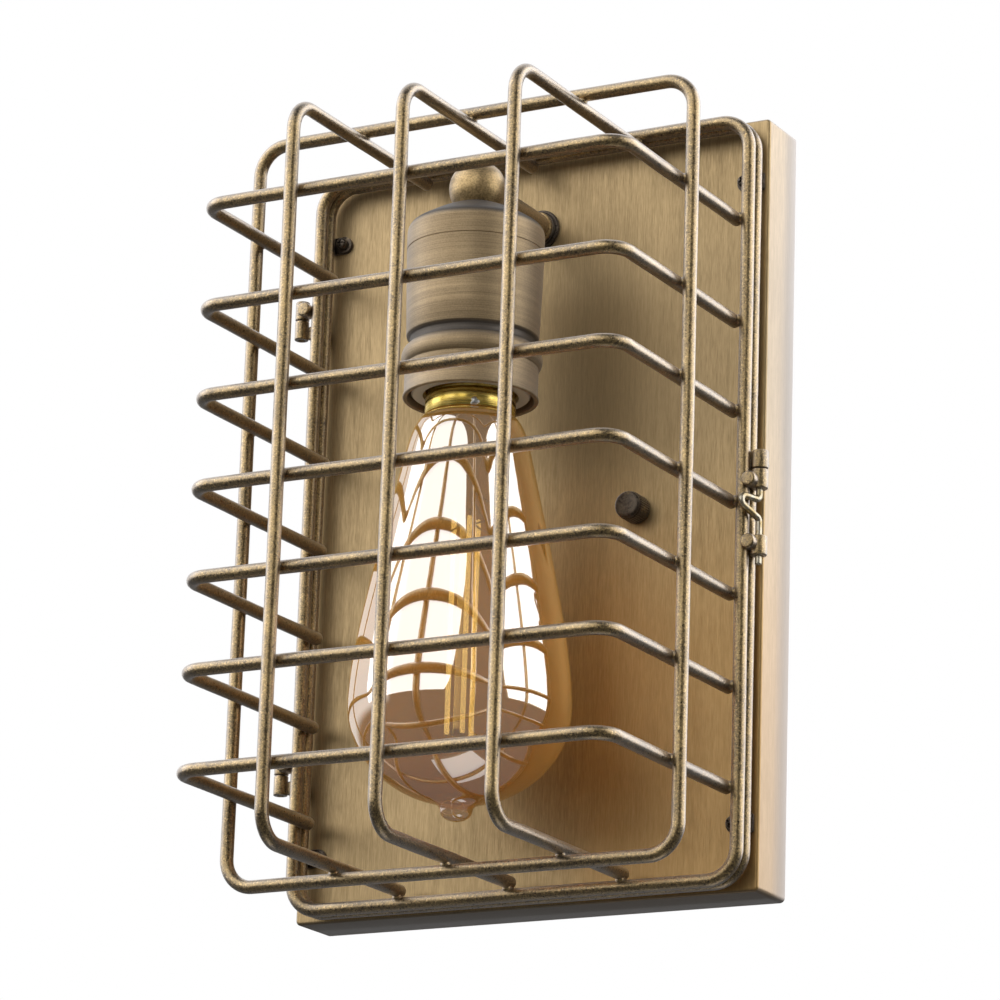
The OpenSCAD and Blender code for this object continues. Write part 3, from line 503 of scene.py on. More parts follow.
def turned_cup(p):
    """Brass turned on a lathe: fine lines round the axis, and a painted sheen. The dome is painted
    dark blue-grey as a painted reflection of the dark surroundings, the groove is painted as dark,
    and this dark covers most of the painted sheen."""
    s = colours()
    z = p.along(2)
    top, mouth = CUP_HI[2] * MM, CUP_LO[2] * MM
    lines = p.noise(1, 4, 0.72, stretch=(30, 30, 3600))
    rings = p.noise(1, 2, 0.5, stretch=(9, 9, 700), shift=(1, 4, 2))
    grain = p.noise(2400, 3, 0.6)
    tone = lines * 0.5 + rings * 0.2 + grain * 0.3
    base = p.mix(p.fade(tone, 0.36, 0.64), shade(s.cup, 0.6), shade(s.cup))
    # Painted reflection: the dome is painted dark blue-grey; the groove below is painted the same
    # dark.
    dome = p.fade(z, top - 0.0088, top - 0.0068)
    above, below = (p.fade(z, mouth + 0.0150, mouth + 0.0162),
                    1 - p.fade(z, mouth + 0.0182, mouth + 0.0194))
    groove = above * below
    dark = p.mix(lines, shade(s.cup_reflection_and_groove, 0.5), shade(s.cup_reflection_and_groove, 1.4))
    # Painted sheen: pale where the cup turns away from the eye.
    base = p.sheen(base, 0.45)
    base = p.mix(dome * 0.88, base, dark)
    base = p.mix(groove * 0.85, base, dark)
    p.coat(base, 0.75, tone, (0.56, 0.44), (lines * 0.6 + rings * 0.4, 0.3, 0.00006))


def turned_ball(p):
    """The elbow's satin brass: fine grain, with faint lines round the upright axis."""
    s = colours()
    lines = p.noise(1, 3, 0.6, stretch=(60, 60, 2400))
    grain = p.noise(1800, 3, 0.6)
    gold = shade(s.pan, 1.25)
    base = p.mix(p.fade(lines * 0.3 + grain * 0.7, 0.34, 0.66), shade(s.pan_dark), gold)
    # Painted sheen on the ball: pale where it turns away from the eye.
    p.coat(p.sheen(base, 0.4), 0.85, grain, (0.36, 0.46), (lines, 0.15, 0.00005))


def dark_bronze(p):
    """Dark bronze, rubbed back to brass in patches."""
    s = colours()
    grain = p.noise(1400, 4, 0.6)
    worn = p.fade(p.noise(260, 3, 0.6, shift=(4, 2, 7)), 0.56, 0.70)
    base = p.mix(p.fade(grain, 0.35, 0.65), shade(s.bronze, 0.5), shade(s.bronze))
    base = p.mix(worn * 0.6, base, shade(s.pan))
    # Painted sheen: pale where the bronze turns away from the eye.
    p.coat(p.sheen(base, 0.4), 0.9, grain, (0.26, 0.42), (grain, 0.4, 0.0001))


def pale_wire(p):
    """Drawn wire with a pale silver-brass wear over its lacquer."""
    s = colours()
    patch = p.noise(300, 3, 0.6)
    draw = p.noise(1, 3, 0.6, stretch=(2600, 2600, 300))
    base = p.mix(p.fade(patch, 0.4, 0.62), (0.52, 0.47, 0.37), (0.42, 0.32, 0.16))
    base = p.mix(p.fade(draw, 0.56, 0.74) * 0.6, base, shade(s.wire_dark))
    p.coat(base, 0.95, draw, (0.24, 0.4), (draw, 0.3, 0.00006))


def bright_brass(p):
    """Bright drawn brass, with faint lines and stains."""
    stain = p.noise(240, 3, 0.6)
    lines = p.noise(1, 2, 0.5, stretch=(60, 60, 1500))
    base = p.mix(p.fade(stain * 0.6 + lines * 0.4, 0.35, 0.65), (0.60, 0.42, 0.08),
                 (0.90, 0.68, 0.20))
    p.coat(base, 1.0, lines, (0.2, 0.34), (lines, 0.2, 0.00005))


def zinc_plate(p):
    """Zinc plating: pale grey with faint crystals."""
    crystals = p.node("ShaderNodeTexVoronoi", {"feature": "F1"},
                      {"Vector": p.place(), "Scale": 420}, output=0)
    cloud = p.noise(120, 3, 0.6)
    tone = p.fade(crystals * 0.5 + cloud * 0.5, 0.2, 0.7)
    base = p.mix(tone, (0.46, 0.47, 0.47), (0.66, 0.67, 0.66))
    p.coat(base, 0.95, cloud, (0.34, 0.5), (crystals, 0.15, 0.00005))


def green_zinc(p):
    """Green dyed zinc of the ground screw."""
    cloud = p.noise(400, 3, 0.6)
    base = p.mix(p.fade(cloud, 0.35, 0.65), (0.04, 0.19, 0.07), (0.1, 0.36, 0.15))
    p.coat(base, 0.7, cloud, (0.3, 0.45), (cloud, 0.2, 0.00005))


def glazed_porcelain(p):
    """White glazed porcelain with a few grey pinholes."""
    pin = p.fade(p.noise(900, 2, 0.5), 0.7, 0.8)
    cloud = p.noise(60, 3, 0.5)
    base = p.mix(p.fade(cloud, 0.3, 0.7), (0.80, 0.78, 0.74), (0.88, 0.87, 0.84))
    base = p.mix(pin * 0.3, base, (0.45, 0.43, 0.40))
    p.coat(base, 0.0, cloud, (0.16, 0.26), (cloud, 0.1, 0.0001), coat_weight=0.4)


def black_glass(p):
    """Black glass of the insulator in the bulb's cap."""
    cloud = p.noise(500, 3, 0.6)
    base = p.mix(p.fade(cloud, 0.4, 0.7), (0.018, 0.016, 0.015), (0.05, 0.045, 0.04))
    p.coat(base, 0.0, cloud, (0.12, 0.3), (cloud, 0.15, 0.00005))


def near_wall(p):
    """1 on the wall of a turned piece that bulges towards the eye, and 0 on the hollow wall
    behind it: the sign of the normal's share along the way out from the lamp's axis."""
    normal = p.node("ShaderNodeTexCoord", output=1)
    out = p.place(scale=(1, 1, 0), shift=(0, -LAMP_Y * MM, 0))
    bulge = p.node("ShaderNodeVectorMath", {"operation": "DOT_PRODUCT"}, {0: normal, 1: out},
                   output=1)
    return p.fade(bulge, -0.0002, 0.0002)


def clear_glass(p, tint, deep, coat, mirror, haze, far):
    """Thin tinted glass, clearest where it is seen square on. Towards its rim the tint deepens,
    and the coat and the mirror grow. haze and far are the coat's shares on the near and on the
    far wall. The far wall also carries most of the tint, and mirrors little."""
    facing = p.node("ShaderNodeLayerWeight", {}, {"Blend": 0.5}, output=1)
    near = near_wall(p)
    ripple = p.bump(p.noise(38, 2, 0.5, twist=0.4), 0.10, 0.0012)
    pale = tuple(1 - 0.2 * (1 - c) for c in tint)
    light = p.node("ShaderNodeBsdfTransparent", {}, {"Color": (*pale, 1)})
    thin = p.node("ShaderNodeBsdfTransparent", {}, {"Color": (*tint, 1)})
    thick = p.node("ShaderNodeBsdfTransparent", {}, {"Color": (*deep, 1)})
    film = p.node("ShaderNodeBsdfDiffuse", {}, {"Color": (*coat, 1), "Normal": ripple})
    shine = p.node("ShaderNodeBsdfPrincipled", {}, {
        "Base Color": (1, 1, 1, 1), "Metallic": 1.0, "Roughness": 0.02, "Normal": ripple})
    wall = p.node("ShaderNodeMixShader", {}, {0: near, 1: thin, 2: light})
    clear = p.node("ShaderNodeMixShader", {}, {0: facing ** 1.5, 1: wall, 2: thick})
    body = p.node("ShaderNodeMixShader", {}, {
        0: haze * near + far * (1 - near) + 0.60 * facing ** 2.4, 1: clear, 2: film})
    p.surface(shader=p.node("ShaderNodeMixShader", {}, {
        0: (mirror + 0.15 * facing ** 3.0) * (0.08 + 0.92 * near), 1: body, 2: shine}))


def bulb_glass(p):
    """The bulb's amber glass, with a strong mirror."""
    s = colours()
    clear_glass(p, shade(s.glass), deep=(0.85, 0.62, 0.25), coat=shade(s.coat), mirror=0.43,
                haze=0.18, far=0.40)


def stem_glass(p):
    """The stem's paler glass, with little mirror or coat."""
    clear_glass(p, (0.97, 0.94, 0.86), deep=(0.75, 0.66, 0.48), coat=(0.9, 0.78, 0.55),
                mirror=0.14, haze=0.03, far=0.05)


def gold_coat(p):
    """Filament rods: a smooth golden coat with faint darker clouds, and a warm glow that stands
    for the light which the coat scatters."""
    cloud = p.noise(1, 2, 0.5, stretch=(300, 300, 90))
    base = p.mix(p.fade(cloud, 0.35, 0.65), (0.92, 0.62, 0.22), (1.0, 0.80, 0.42))
    p.surface(base_color=base, metallic=0.2, roughness=0.22, emission_color=(1.0, 0.70, 0.22, 1),
              emission_strength=1.8)


def fine_steel(p):
    """Fine nickel wire."""
    cloud = p.noise(800, 2, 0.5)
    base = p.mix(cloud, (0.20, 0.17, 0.13), (0.42, 0.38, 0.31))
    p.surface(base_color=base, metallic=0.9, roughness=p.fade(cloud, 0.3, 0.7, 0.2, 0.35))


def floor_paper(p):
    """Pale floor that keeps its shadows and reads nearly white to the camera."""
    cloud = p.noise(1.6, 2, 0.5)
    base = p.mix(cloud, (0.80, 0.80, 0.80), (0.84, 0.84, 0.84))
    seen = p.node("ShaderNodeLightPath", output=0)
    glow = p.mix(seen, (0, 0, 0), (0.72, 0.72, 0.72))
    p.surface(base_color=base, roughness=0.8, emission_color=glow, emission_strength=1.0)


FINISHES = {paint.__name__: paint for paint in (
    antique_wire, brushed_pan, turned_cup, turned_ball, dark_bronze, pale_wire, bright_brass,
    zinc_plate, green_zinc, glazed_porcelain, black_glass, bulb_glass, stem_glass, gold_coat,
    fine_steel, floor_paper)}


def finish(name):
    """The material of that name, made once."""
    made = bpy.data.materials.get(name)
    if made is None:
        made = bpy.data.materials.new(name)
        made.use_nodes = True
        FINISHES[name](Paint(made.node_tree))
    return made


# ------------------------------------------------------------------ pieces


class WALLLIGHT_OT_pan(bpy.types.Operator):
    """Builds the wall pan from one folded sheet with a softened front edge"""
    bl_idname = "wall_light.pan"
    bl_label = "Wall Pan"

    def execute(self, context):
        w, h, depth, wall, edge, corner = PAN_HI[0], PAN_HI[2], -PAN_LO[1], 1.2, 0.9, 1.5
        bend = arc((0, 0), edge, edge, 90, 0, 6)
        rows = [(40, depth), (edge + 0.4, depth)]
        rows += [(edge - r, depth - edge + d) for r, d in bend]
        rows += [(0, depth * 0.5), (0, 0.15), (0.15, 0), (wall - 0.1, 0), (wall, 0.1),
                 (wall, depth - wall), (40, depth - wall)]
        lines = [rounded_box_ring(w - i, h - i, max(corner - i, 0.25)) for i, _ in rows]
        points = np.stack([np.stack([r[:, 0], np.full(len(r), -d), r[:, 1]], 1)
                           for r, (_, d) in zip(lines, rows)])
        count = points.shape[1]
        ends = [np.repeat([[0.0, -d, 0.0]], count, 0)[None] for _, d in (rows[0], rows[-1])]
        points = np.concatenate([ends[0], points, ends[1]])
        add_piece("wall_pan_sheet", [grid(points, close_v=True)], "base",
                  finish("brushed_pan"), ["wall_pan"], sharp=50)
        return {"FINISHED"}


class WALLLIGHT_OT_wires(bpy.types.Operator):
    """Bends the frames, the ring, the hoops and the uprights, and welds them together"""
    bl_idname = "wall_light.wires"
    bl_label = "Cage Wires"

    def execute(self, context):
        s = context.scene.wall_light_wires
        gold = finish("antique_wire")

        def bend(node, corners, bends, place, phase, body="cage", closed=False):
            """A wire through the corners of a plane, for the CAD node it stands for."""
            part = wire(bent_path(corners, bends, closed), place, WIRE_R, closed, s.sides,
                        s.waver / MM, phase)
            add_piece(node + "_wire", [part], body, gold, [node])

        for i, node in enumerate(["fixed_frame", "cage_base_frame", "cage_mid_ring"]):
            lo, hi = box_mm(node)
            y, w, h = (lo[1] + hi[1]) / 2, hi[0] - WIRE_R, hi[2] - WIRE_R
            bend(node, [[w, -h], [w, h], [-w, h], [-w, -h]], [s.frame_bend / MM] * 4,
                 lambda a, b, c: np.stack([a, y - c, b], -1), 1.3 + 2 * i,
                 "base" if i == 0 else "cage", True)
        for i, node in enumerate(HOOPS):
            lo, hi = box_mm(node)
            z, w, front, end = (lo[2] + hi[2]) / 2, hi[0] - WIRE_R, lo[1] + WIRE_R, hi[1]
            bend(node, [[-w, end], [-w, front], [w, front], [w, end]],
                 [0, s.hoop_bend / MM, s.hoop_bend / MM, 0],
                 lambda a, b, c: np.stack([a, b, z + c], -1), 0.7 + 1.9 * i)
        for i, node in enumerate(UPRIGHTS):
            lo, hi = box_mm(node)
            x, h, front, end = (lo[0] + hi[0]) / 2, hi[2] - WIRE_R, lo[1] + WIRE_R, hi[1]
            bend(node, [[end, h], [front, h], [front, -h], [end, -h]],
                 [0, s.upright_bend / MM, s.upright_bend / MM, 0],
                 lambda a, b, c: np.stack([x + c, a, b], -1), 2.4 + 1.7 * i)
        add_piece("cage_welds", [self.welds()], "cage", gold)
        return {"FINISHED"}

    def welds(self):
        """Small beads of metal where two wires of the cage touch: one ball, copied to every
        crossing."""
        middle = {n: sum(box_mm(n)) / 2 for n in HOOPS + UPRIGHTS + ["cage_base_frame",
                                                                       "cage_mid_ring"]}
        hoop_z = np.array([middle[n][2] for n in HOOPS])
        up_x = np.array([middle[n][0] for n in UPRIGHTS])
        lo, hi = box_mm(HOOPS[0])
        up_hi = box_mm(UPRIGHTS[0])[1]
        front = lo[1]
        side = (hi[0] + BASE_HI[0] - 2 * WIRE_R) / 2
        end = (up_hi[2] + BASE_HI[2] - 2 * WIRE_R) / 2
        bead_r, proud = 1.55, 0.3
        ys = [middle["cage_mid_ring"][1], middle["cage_base_frame"][1] - proud]
        at = [[x, front, z] for x in up_x for z in hoop_z]
        at += [[s * side, y, z] for s in (-1, 1) for y in ys for z in hoop_z]
        at += [[x, y, s * end] for s in (-1, 1) for y in ys for x in up_x]
        ball = turned(arc((0, 0), bead_r, bead_r, -90, 90, 8), (0, 0, 0), count=12)
        return copies(ball, at)


class WALLLIGHT_OT_hinges(bpy.types.Operator):
    """Builds the hinge knuckles, the latch's keeper and its guides"""
    bl_idname = "wall_light.hinges"
    bl_label = "Hinges and Latch Tubes"

    def execute(self, context):
        gold = finish("antique_wire")
        x, y, split, stub_r = (PINS_LO[0] + PINS_HI[0]) / 2, SWING_Y, 0.2, 2.2
        hinge_outer, latch_outer = 4.4, 5
        for node, body in (("fixed_hinge_knuckles", "base"), ("cage_hinge_knuckles", "cage")):
            lo, hi = box_mm(node)
            stub = (y + split, hi[1]) if body == "base" else (lo[1], y - split)
            parts = []
            for z in (lo[2], hi[2] - KNUCKLE):
                parts += welded_tube(x, y, z, KNUCKLE, hinge_outer, TUBE_BORE, hi[0] - stub_r,
                                     *stub)
            add_piece(node + "_rolled", parts, body, gold, [node])
        keeper_lo, keeper_hi = box_mm("latch_keeper")
        x = keeper_hi[0] - latch_outer / 2
        lo, hi = box_mm("latch_guides")
        stub_x = keeper_lo[0] + stub_r
        parts = welded_tube(x, y, keeper_lo[2], keeper_hi[2] - keeper_lo[2], latch_outer,
                            TUBE_BORE, stub_x, y + split, keeper_hi[1])
        add_piece("latch_keeper_rolled", parts, "base", gold, ["latch_keeper"])
        parts = []
        for z, stub_z in ((lo[2], 3.55), (hi[2] - GUIDE, 2.25)):
            parts += welded_tube(x, y, z, GUIDE, latch_outer, TUBE_BORE, stub_x, lo[1], y - split,
                                 stub_z)
        add_piece("latch_guides_rolled", parts, "cage", gold, ["latch_guides"])
        return {"FINISHED"}


class WALLLIGHT_OT_latch(bpy.types.Operator):
    """Bends the latch pin with its thumb loop"""
    bl_idname = "wall_light.latch"
    bl_label = "Latch Pin"

    def execute(self, context):
        lo, hi = box_mm("latch_pin")
        pin_r, reach, drop = 1.0, 7.6, 3.25
        foot_bend, tip_bend, neck_bend = 1.6, 1.55, 1.4
        axis_x = hi[0] - pin_r
        turn, half = math.radians(-106), math.radians(10.8)
        top = box_mm("latch_guides")[1][2] - GUIDE - drop
        far = reach - tip_bend + tip_bend / math.tan(half)
        foot = top - far * math.tan(2 * half)
        path = bent_path([[0, lo[2]], [0, foot], [far, top], [0, top], [0, hi[2]]],
                         [0, foot_bend, tip_bend, neck_bend, 0], spacing=1.0)
        cos, sin = math.cos(turn), math.sin(turn)
        part = wire(path, lambda a, b, c: np.stack([axis_x + a * cos + c * sin,
                                                    SWING_Y + a * sin - c * cos, b], -1), pin_r,
                    sides=24, cap=0.5)
        add_piece("latch_pin_wire", [part], "latch_pin", finish("pale_wire"),
                  ["latch_pin"])
        dress(finish("pale_wire"), "hinge_pins")
        return {"FINISHED"}


class WALLLIGHT_OT_tabs(bpy.types.Operator):
    """Builds the four tabs of the fixed frame and their tall round screws"""
    bl_idname = "wall_light.tabs"
    bl_label = "Tabs and Screws"

    def execute(self, context):
        hi = box_mm("frame_screws")[1]
        x, z = hi[0] - SCREW_HEAD_R, hi[2] - SCREW_HEAD_R
        reach = box_mm("frame_tabs")[1][0] - x
        bronze = finish("dark_bronze")
        tabs, screws = [], []
        half_w, corner, thick = 2.7, 0.6, 1.2
        back = arc((0, 0), half_w, half_w, 90, 270, 16)
        tip = np.concatenate([arc((reach - corner, -2.1), corner, corner, -90, 0, 4),
                              arc((reach - corner, 2.1), corner, corner, 0, 90, 4)])
        line = np.concatenate([back, tip])
        rows = [(0.0, 0), (1, 0), (1, 0.95), (0.97, 1.12), (0.9, 1.2), (0.0, 1.2)]
        for sx in (-1, 1):
            for sz in (-1, 1):
                plate = np.stack([np.stack([
                    sx * (x + line[:, 0] * k), np.full(len(line), FRONT_Y - d),
                    sz * z + line[:, 1] * k], 1) for k, d in rows])
                tabs.append(grid(plate, close_v=True))
                screws.append(self.screw(sx * x, FRONT_Y - thick, sz * z, 0.6 + sx + 2 * sz))
        add_piece("frame_tabs_plates", tabs, "base", bronze, ["frame_tabs"])
        add_piece("frame_screws_domed", screws, "base", bronze, ["frame_screws"])
        return {"FINISHED"}

    def screw(self, x, y, z, turn):
        """A tall round head over a pointed shank. The driver's cross is cut by lowering the top
        where the point lies near one of two lines, more so towards the middle."""
        head = np.radians(np.linspace(8, 90, 22))
        wide, shank, side, dome = SCREW_HEAD_R, 1.2, 1.7, 0.8
        r = np.concatenate([[0, shank, shank, wide, wide, wide], wide * np.cos(head)])
        h = np.concatenate([[-7, -5.5, 0, 0, 0.5, side], side + dome * np.sin(head)])
        angle = np.arange(64) * 2 * np.pi / 64
        a = angle[None] - turn
        near = np.minimum(abs(r[:, None] * np.sin(a)), abs(r[:, None] * np.cos(a)))
        half_slot, slot_end, depth, dome_from = 0.30, 1.15, 0.7, 1.75
        cross = np.clip((half_slot - near) / 0.1, 0, 1)
        cross = cross * np.clip((slot_end - r[:, None]) / 0.25, 0, 1)
        cross *= (h[:, None] > dome_from)
        height = h[:, None] - cross * depth
        points = np.stack([x + r[:, None] * np.cos(angle), y - height,
                           z + r[:, None] * np.sin(angle)], -1)
        points[-1] = points[-1].mean(0)
        return grid(points, close_v=True)


class WALLLIGHT_OT_knobs(bpy.types.Operator):
    """Builds the two knurled nuts that hold the pan"""
    bl_idname = "wall_light.knobs"
    bl_label = "Knurled Nuts"

    def execute(self, context):
        bronze = finish("dark_bronze")
        for node in ("knob_left", "knob_right"):
            lo, hi = box_mm(node)
            x, r, long = (lo[0] + hi[0]) / 2, (hi[0] - lo[0]) / 2, hi[1] - lo[1]
            barrel, ribs, rib_depth = long - 1.45, 36, 0.16
            rows = [(0, 1.2), (2.0, 1.2), (2.05, 0.0), (r - 0.5, 0.0), (r - 0.15, 0.12), (r, 0.4)]
            rows += [(r, t) for t in np.linspace(0.7, barrel - 0.4, 8)]
            rows += [(r - 0.05, barrel - 0.15), (r - 0.25, barrel)]
            rows += [tuple(p) for p in arc((r - 1.1, barrel + 0.45), 0.85, 0.8, -10, 78, 6)]
            rows += [(r - 1.5, long - 0.12), (r * 0.4, long - 0.02), (0, long)]
            rows = np.array(rows)
            ribbed = np.clip((r - 0.12 - rows[:, :1]) / -0.1, 0, 1)

            def knurl(angle, radius, height):
                """Radius less the ribs' depth times a wave round the axis, on the barrel only."""
                return radius - rib_depth * ribbed * (0.5 - 0.5 * np.cos(ribs * angle))

            part = turned(rows, (x, hi[1], 0), (0, -1, 0), 288, knurl)
            add_piece(node + "_knurled", [part], node, bronze, [node], sharp=60)
        return {"FINISHED"}


class WALLLIGHT_OT_elbow(bpy.types.Operator):
    """Builds the flange, the arm and the ball elbow"""
    bl_idname = "wall_light.elbow"
    bl_label = "Arm and Elbow"

    def execute(self, context):
        lo, hi = box_mm("arm_flange")
        r, thick = (hi[0] - lo[0]) / 2, hi[1] - lo[1]
        bore = 4.15
        ridge = np.concatenate([[[bore, 0], [r - 0.1, 0]],
                                arc((r - 0.55, 0.55), 0.55, 0.55, -60, 60, 5),
                                [[r - 0.75, 1.08]],
                                arc((r - 1.3, thick - 0.62), 0.6, 0.6, -20, 90, 5),
                                [[bore, thick]]])
        flange = turned(np.vstack([ridge, ridge[:1]]), (0, FRONT_Y, ARM_Z), (0, -1, 0), 64)
        add_piece("arm_flange_ridged", [flange], "base", finish("dark_bronze"),
                  ["arm_flange"])
        lo, hi = box_mm("support_arm")
        start, end, collar = -lo[1], -hi[1], 20.2
        tube = np.array([[0, end], [3.6, end], [3.9, end + 0.3], [3.9, collar], [5, collar],
                         [5, collar + 0.85], [4.75, collar + 1.1], [4.4, collar + 1.1],
                         [4.4, start], [0, start]])
        add_piece("support_arm_tube", [turned(tube, (0, 0, ARM_Z), (0, -1, 0), 48)], "base",
                  finish("turned_ball"), ["support_arm"])
        radius = (BALL_HI[0] - BALL_LO[0]) / 2
        ball = arc((0, 0), radius, radius, -90, 90, 40)
        add_piece("ball_elbow_turned", [turned(ball, (0, LAMP_Y, ARM_Z), count=72)], "base",
                  finish("turned_ball"), ["ball_elbow"])
        dress(finish("turned_cup"), "holder_nipple")
        return {"FINISHED"}


class WALLLIGHT_OT_holder(bpy.types.Operator):
    """Builds the turned cup of the lampholder and finishes what is inside it"""
    bl_idname = "wall_light.holder"
    bl_label = "Lampholder"

    def execute(self, context):
        top, mouth = CUP_HI[2], CUP_LO[2]
        bead = (CUP_HI[0] - CUP_LO[0]) / 2
        r, skirt = bead - 0.4, bead - 1.1
        waist, groove = r - 0.8, r - 1.7
        round_r, lip = 3.6, (7.4, top - 0.3)
        outside = np.concatenate([
            [[6.75, top - 0.05], lip],
            curve(lip, (10.4, top - 1.5), (13.2, top - 2.9), (r - round_r + 1.7, top - 6.0), 10),
            arc((r - round_r, top - 9.2), round_r, round_r, 58, 0, 9),
            [[r, top - 14.4], [r - 0.22, top - 14.5], [r - 0.22, top - 14.72], [r, top - 14.82]],
            [[waist + 0.3, mouth + 28], [waist, mouth + 19.1], [waist - 0.1, mouth + 18.8],
             [groove, mouth + 18.2], [groove - 0.1, mouth + 17.8], [groove - 0.1, mouth + 16.6],
             [groove, mouth + 16.2]],
            arc((bead - 2.4, mouth + 12.4), 2.4, 3.2, 62, -45, 12),
            [[skirt, mouth + 9.7], [skirt, mouth + 1.5], [skirt + 0.2, mouth + 1.2]],
            arc((skirt - 0.1, mouth + 0.5), 0.45, 0.5, 40, -90, 6)])
        inside = np.array([[skirt - 0.9, mouth + 0.2], [skirt - 1, mouth + 1],
                           [skirt - 1, mouth + 9.8], [bead - 1, mouth + 12.4],
                           [groove - 1, mouth + 16.1], [groove - 1, mouth + 18.4],
                           [waist - 1, mouth + 20], [r - 1, top - 10.4], [r - 3.2, top - 7],
                           [9.5, top - 3.4], [3.95, top - 3.4], [3.95, top - 2.9],
                           [5.2, top - 2.6]])
        line = np.vstack([outside, inside, [[6.4, top - 0.3]], outside[:1]])
        cup = turned(line, (0, LAMP_Y, 0), count=120)
        add_piece("socket_cup_turned", [cup], "base", finish("turned_cup"),
                  ["socket_cup"], sharp=40)
        dress(finish("glazed_porcelain"), "socket_insulator")
        dress(finish("bright_brass"), "socket_screw_shell", "centre_contact", "holder_cap")
        dress(finish("zinc_plate"), "nipple_nut")
        return {"FINISHED"}


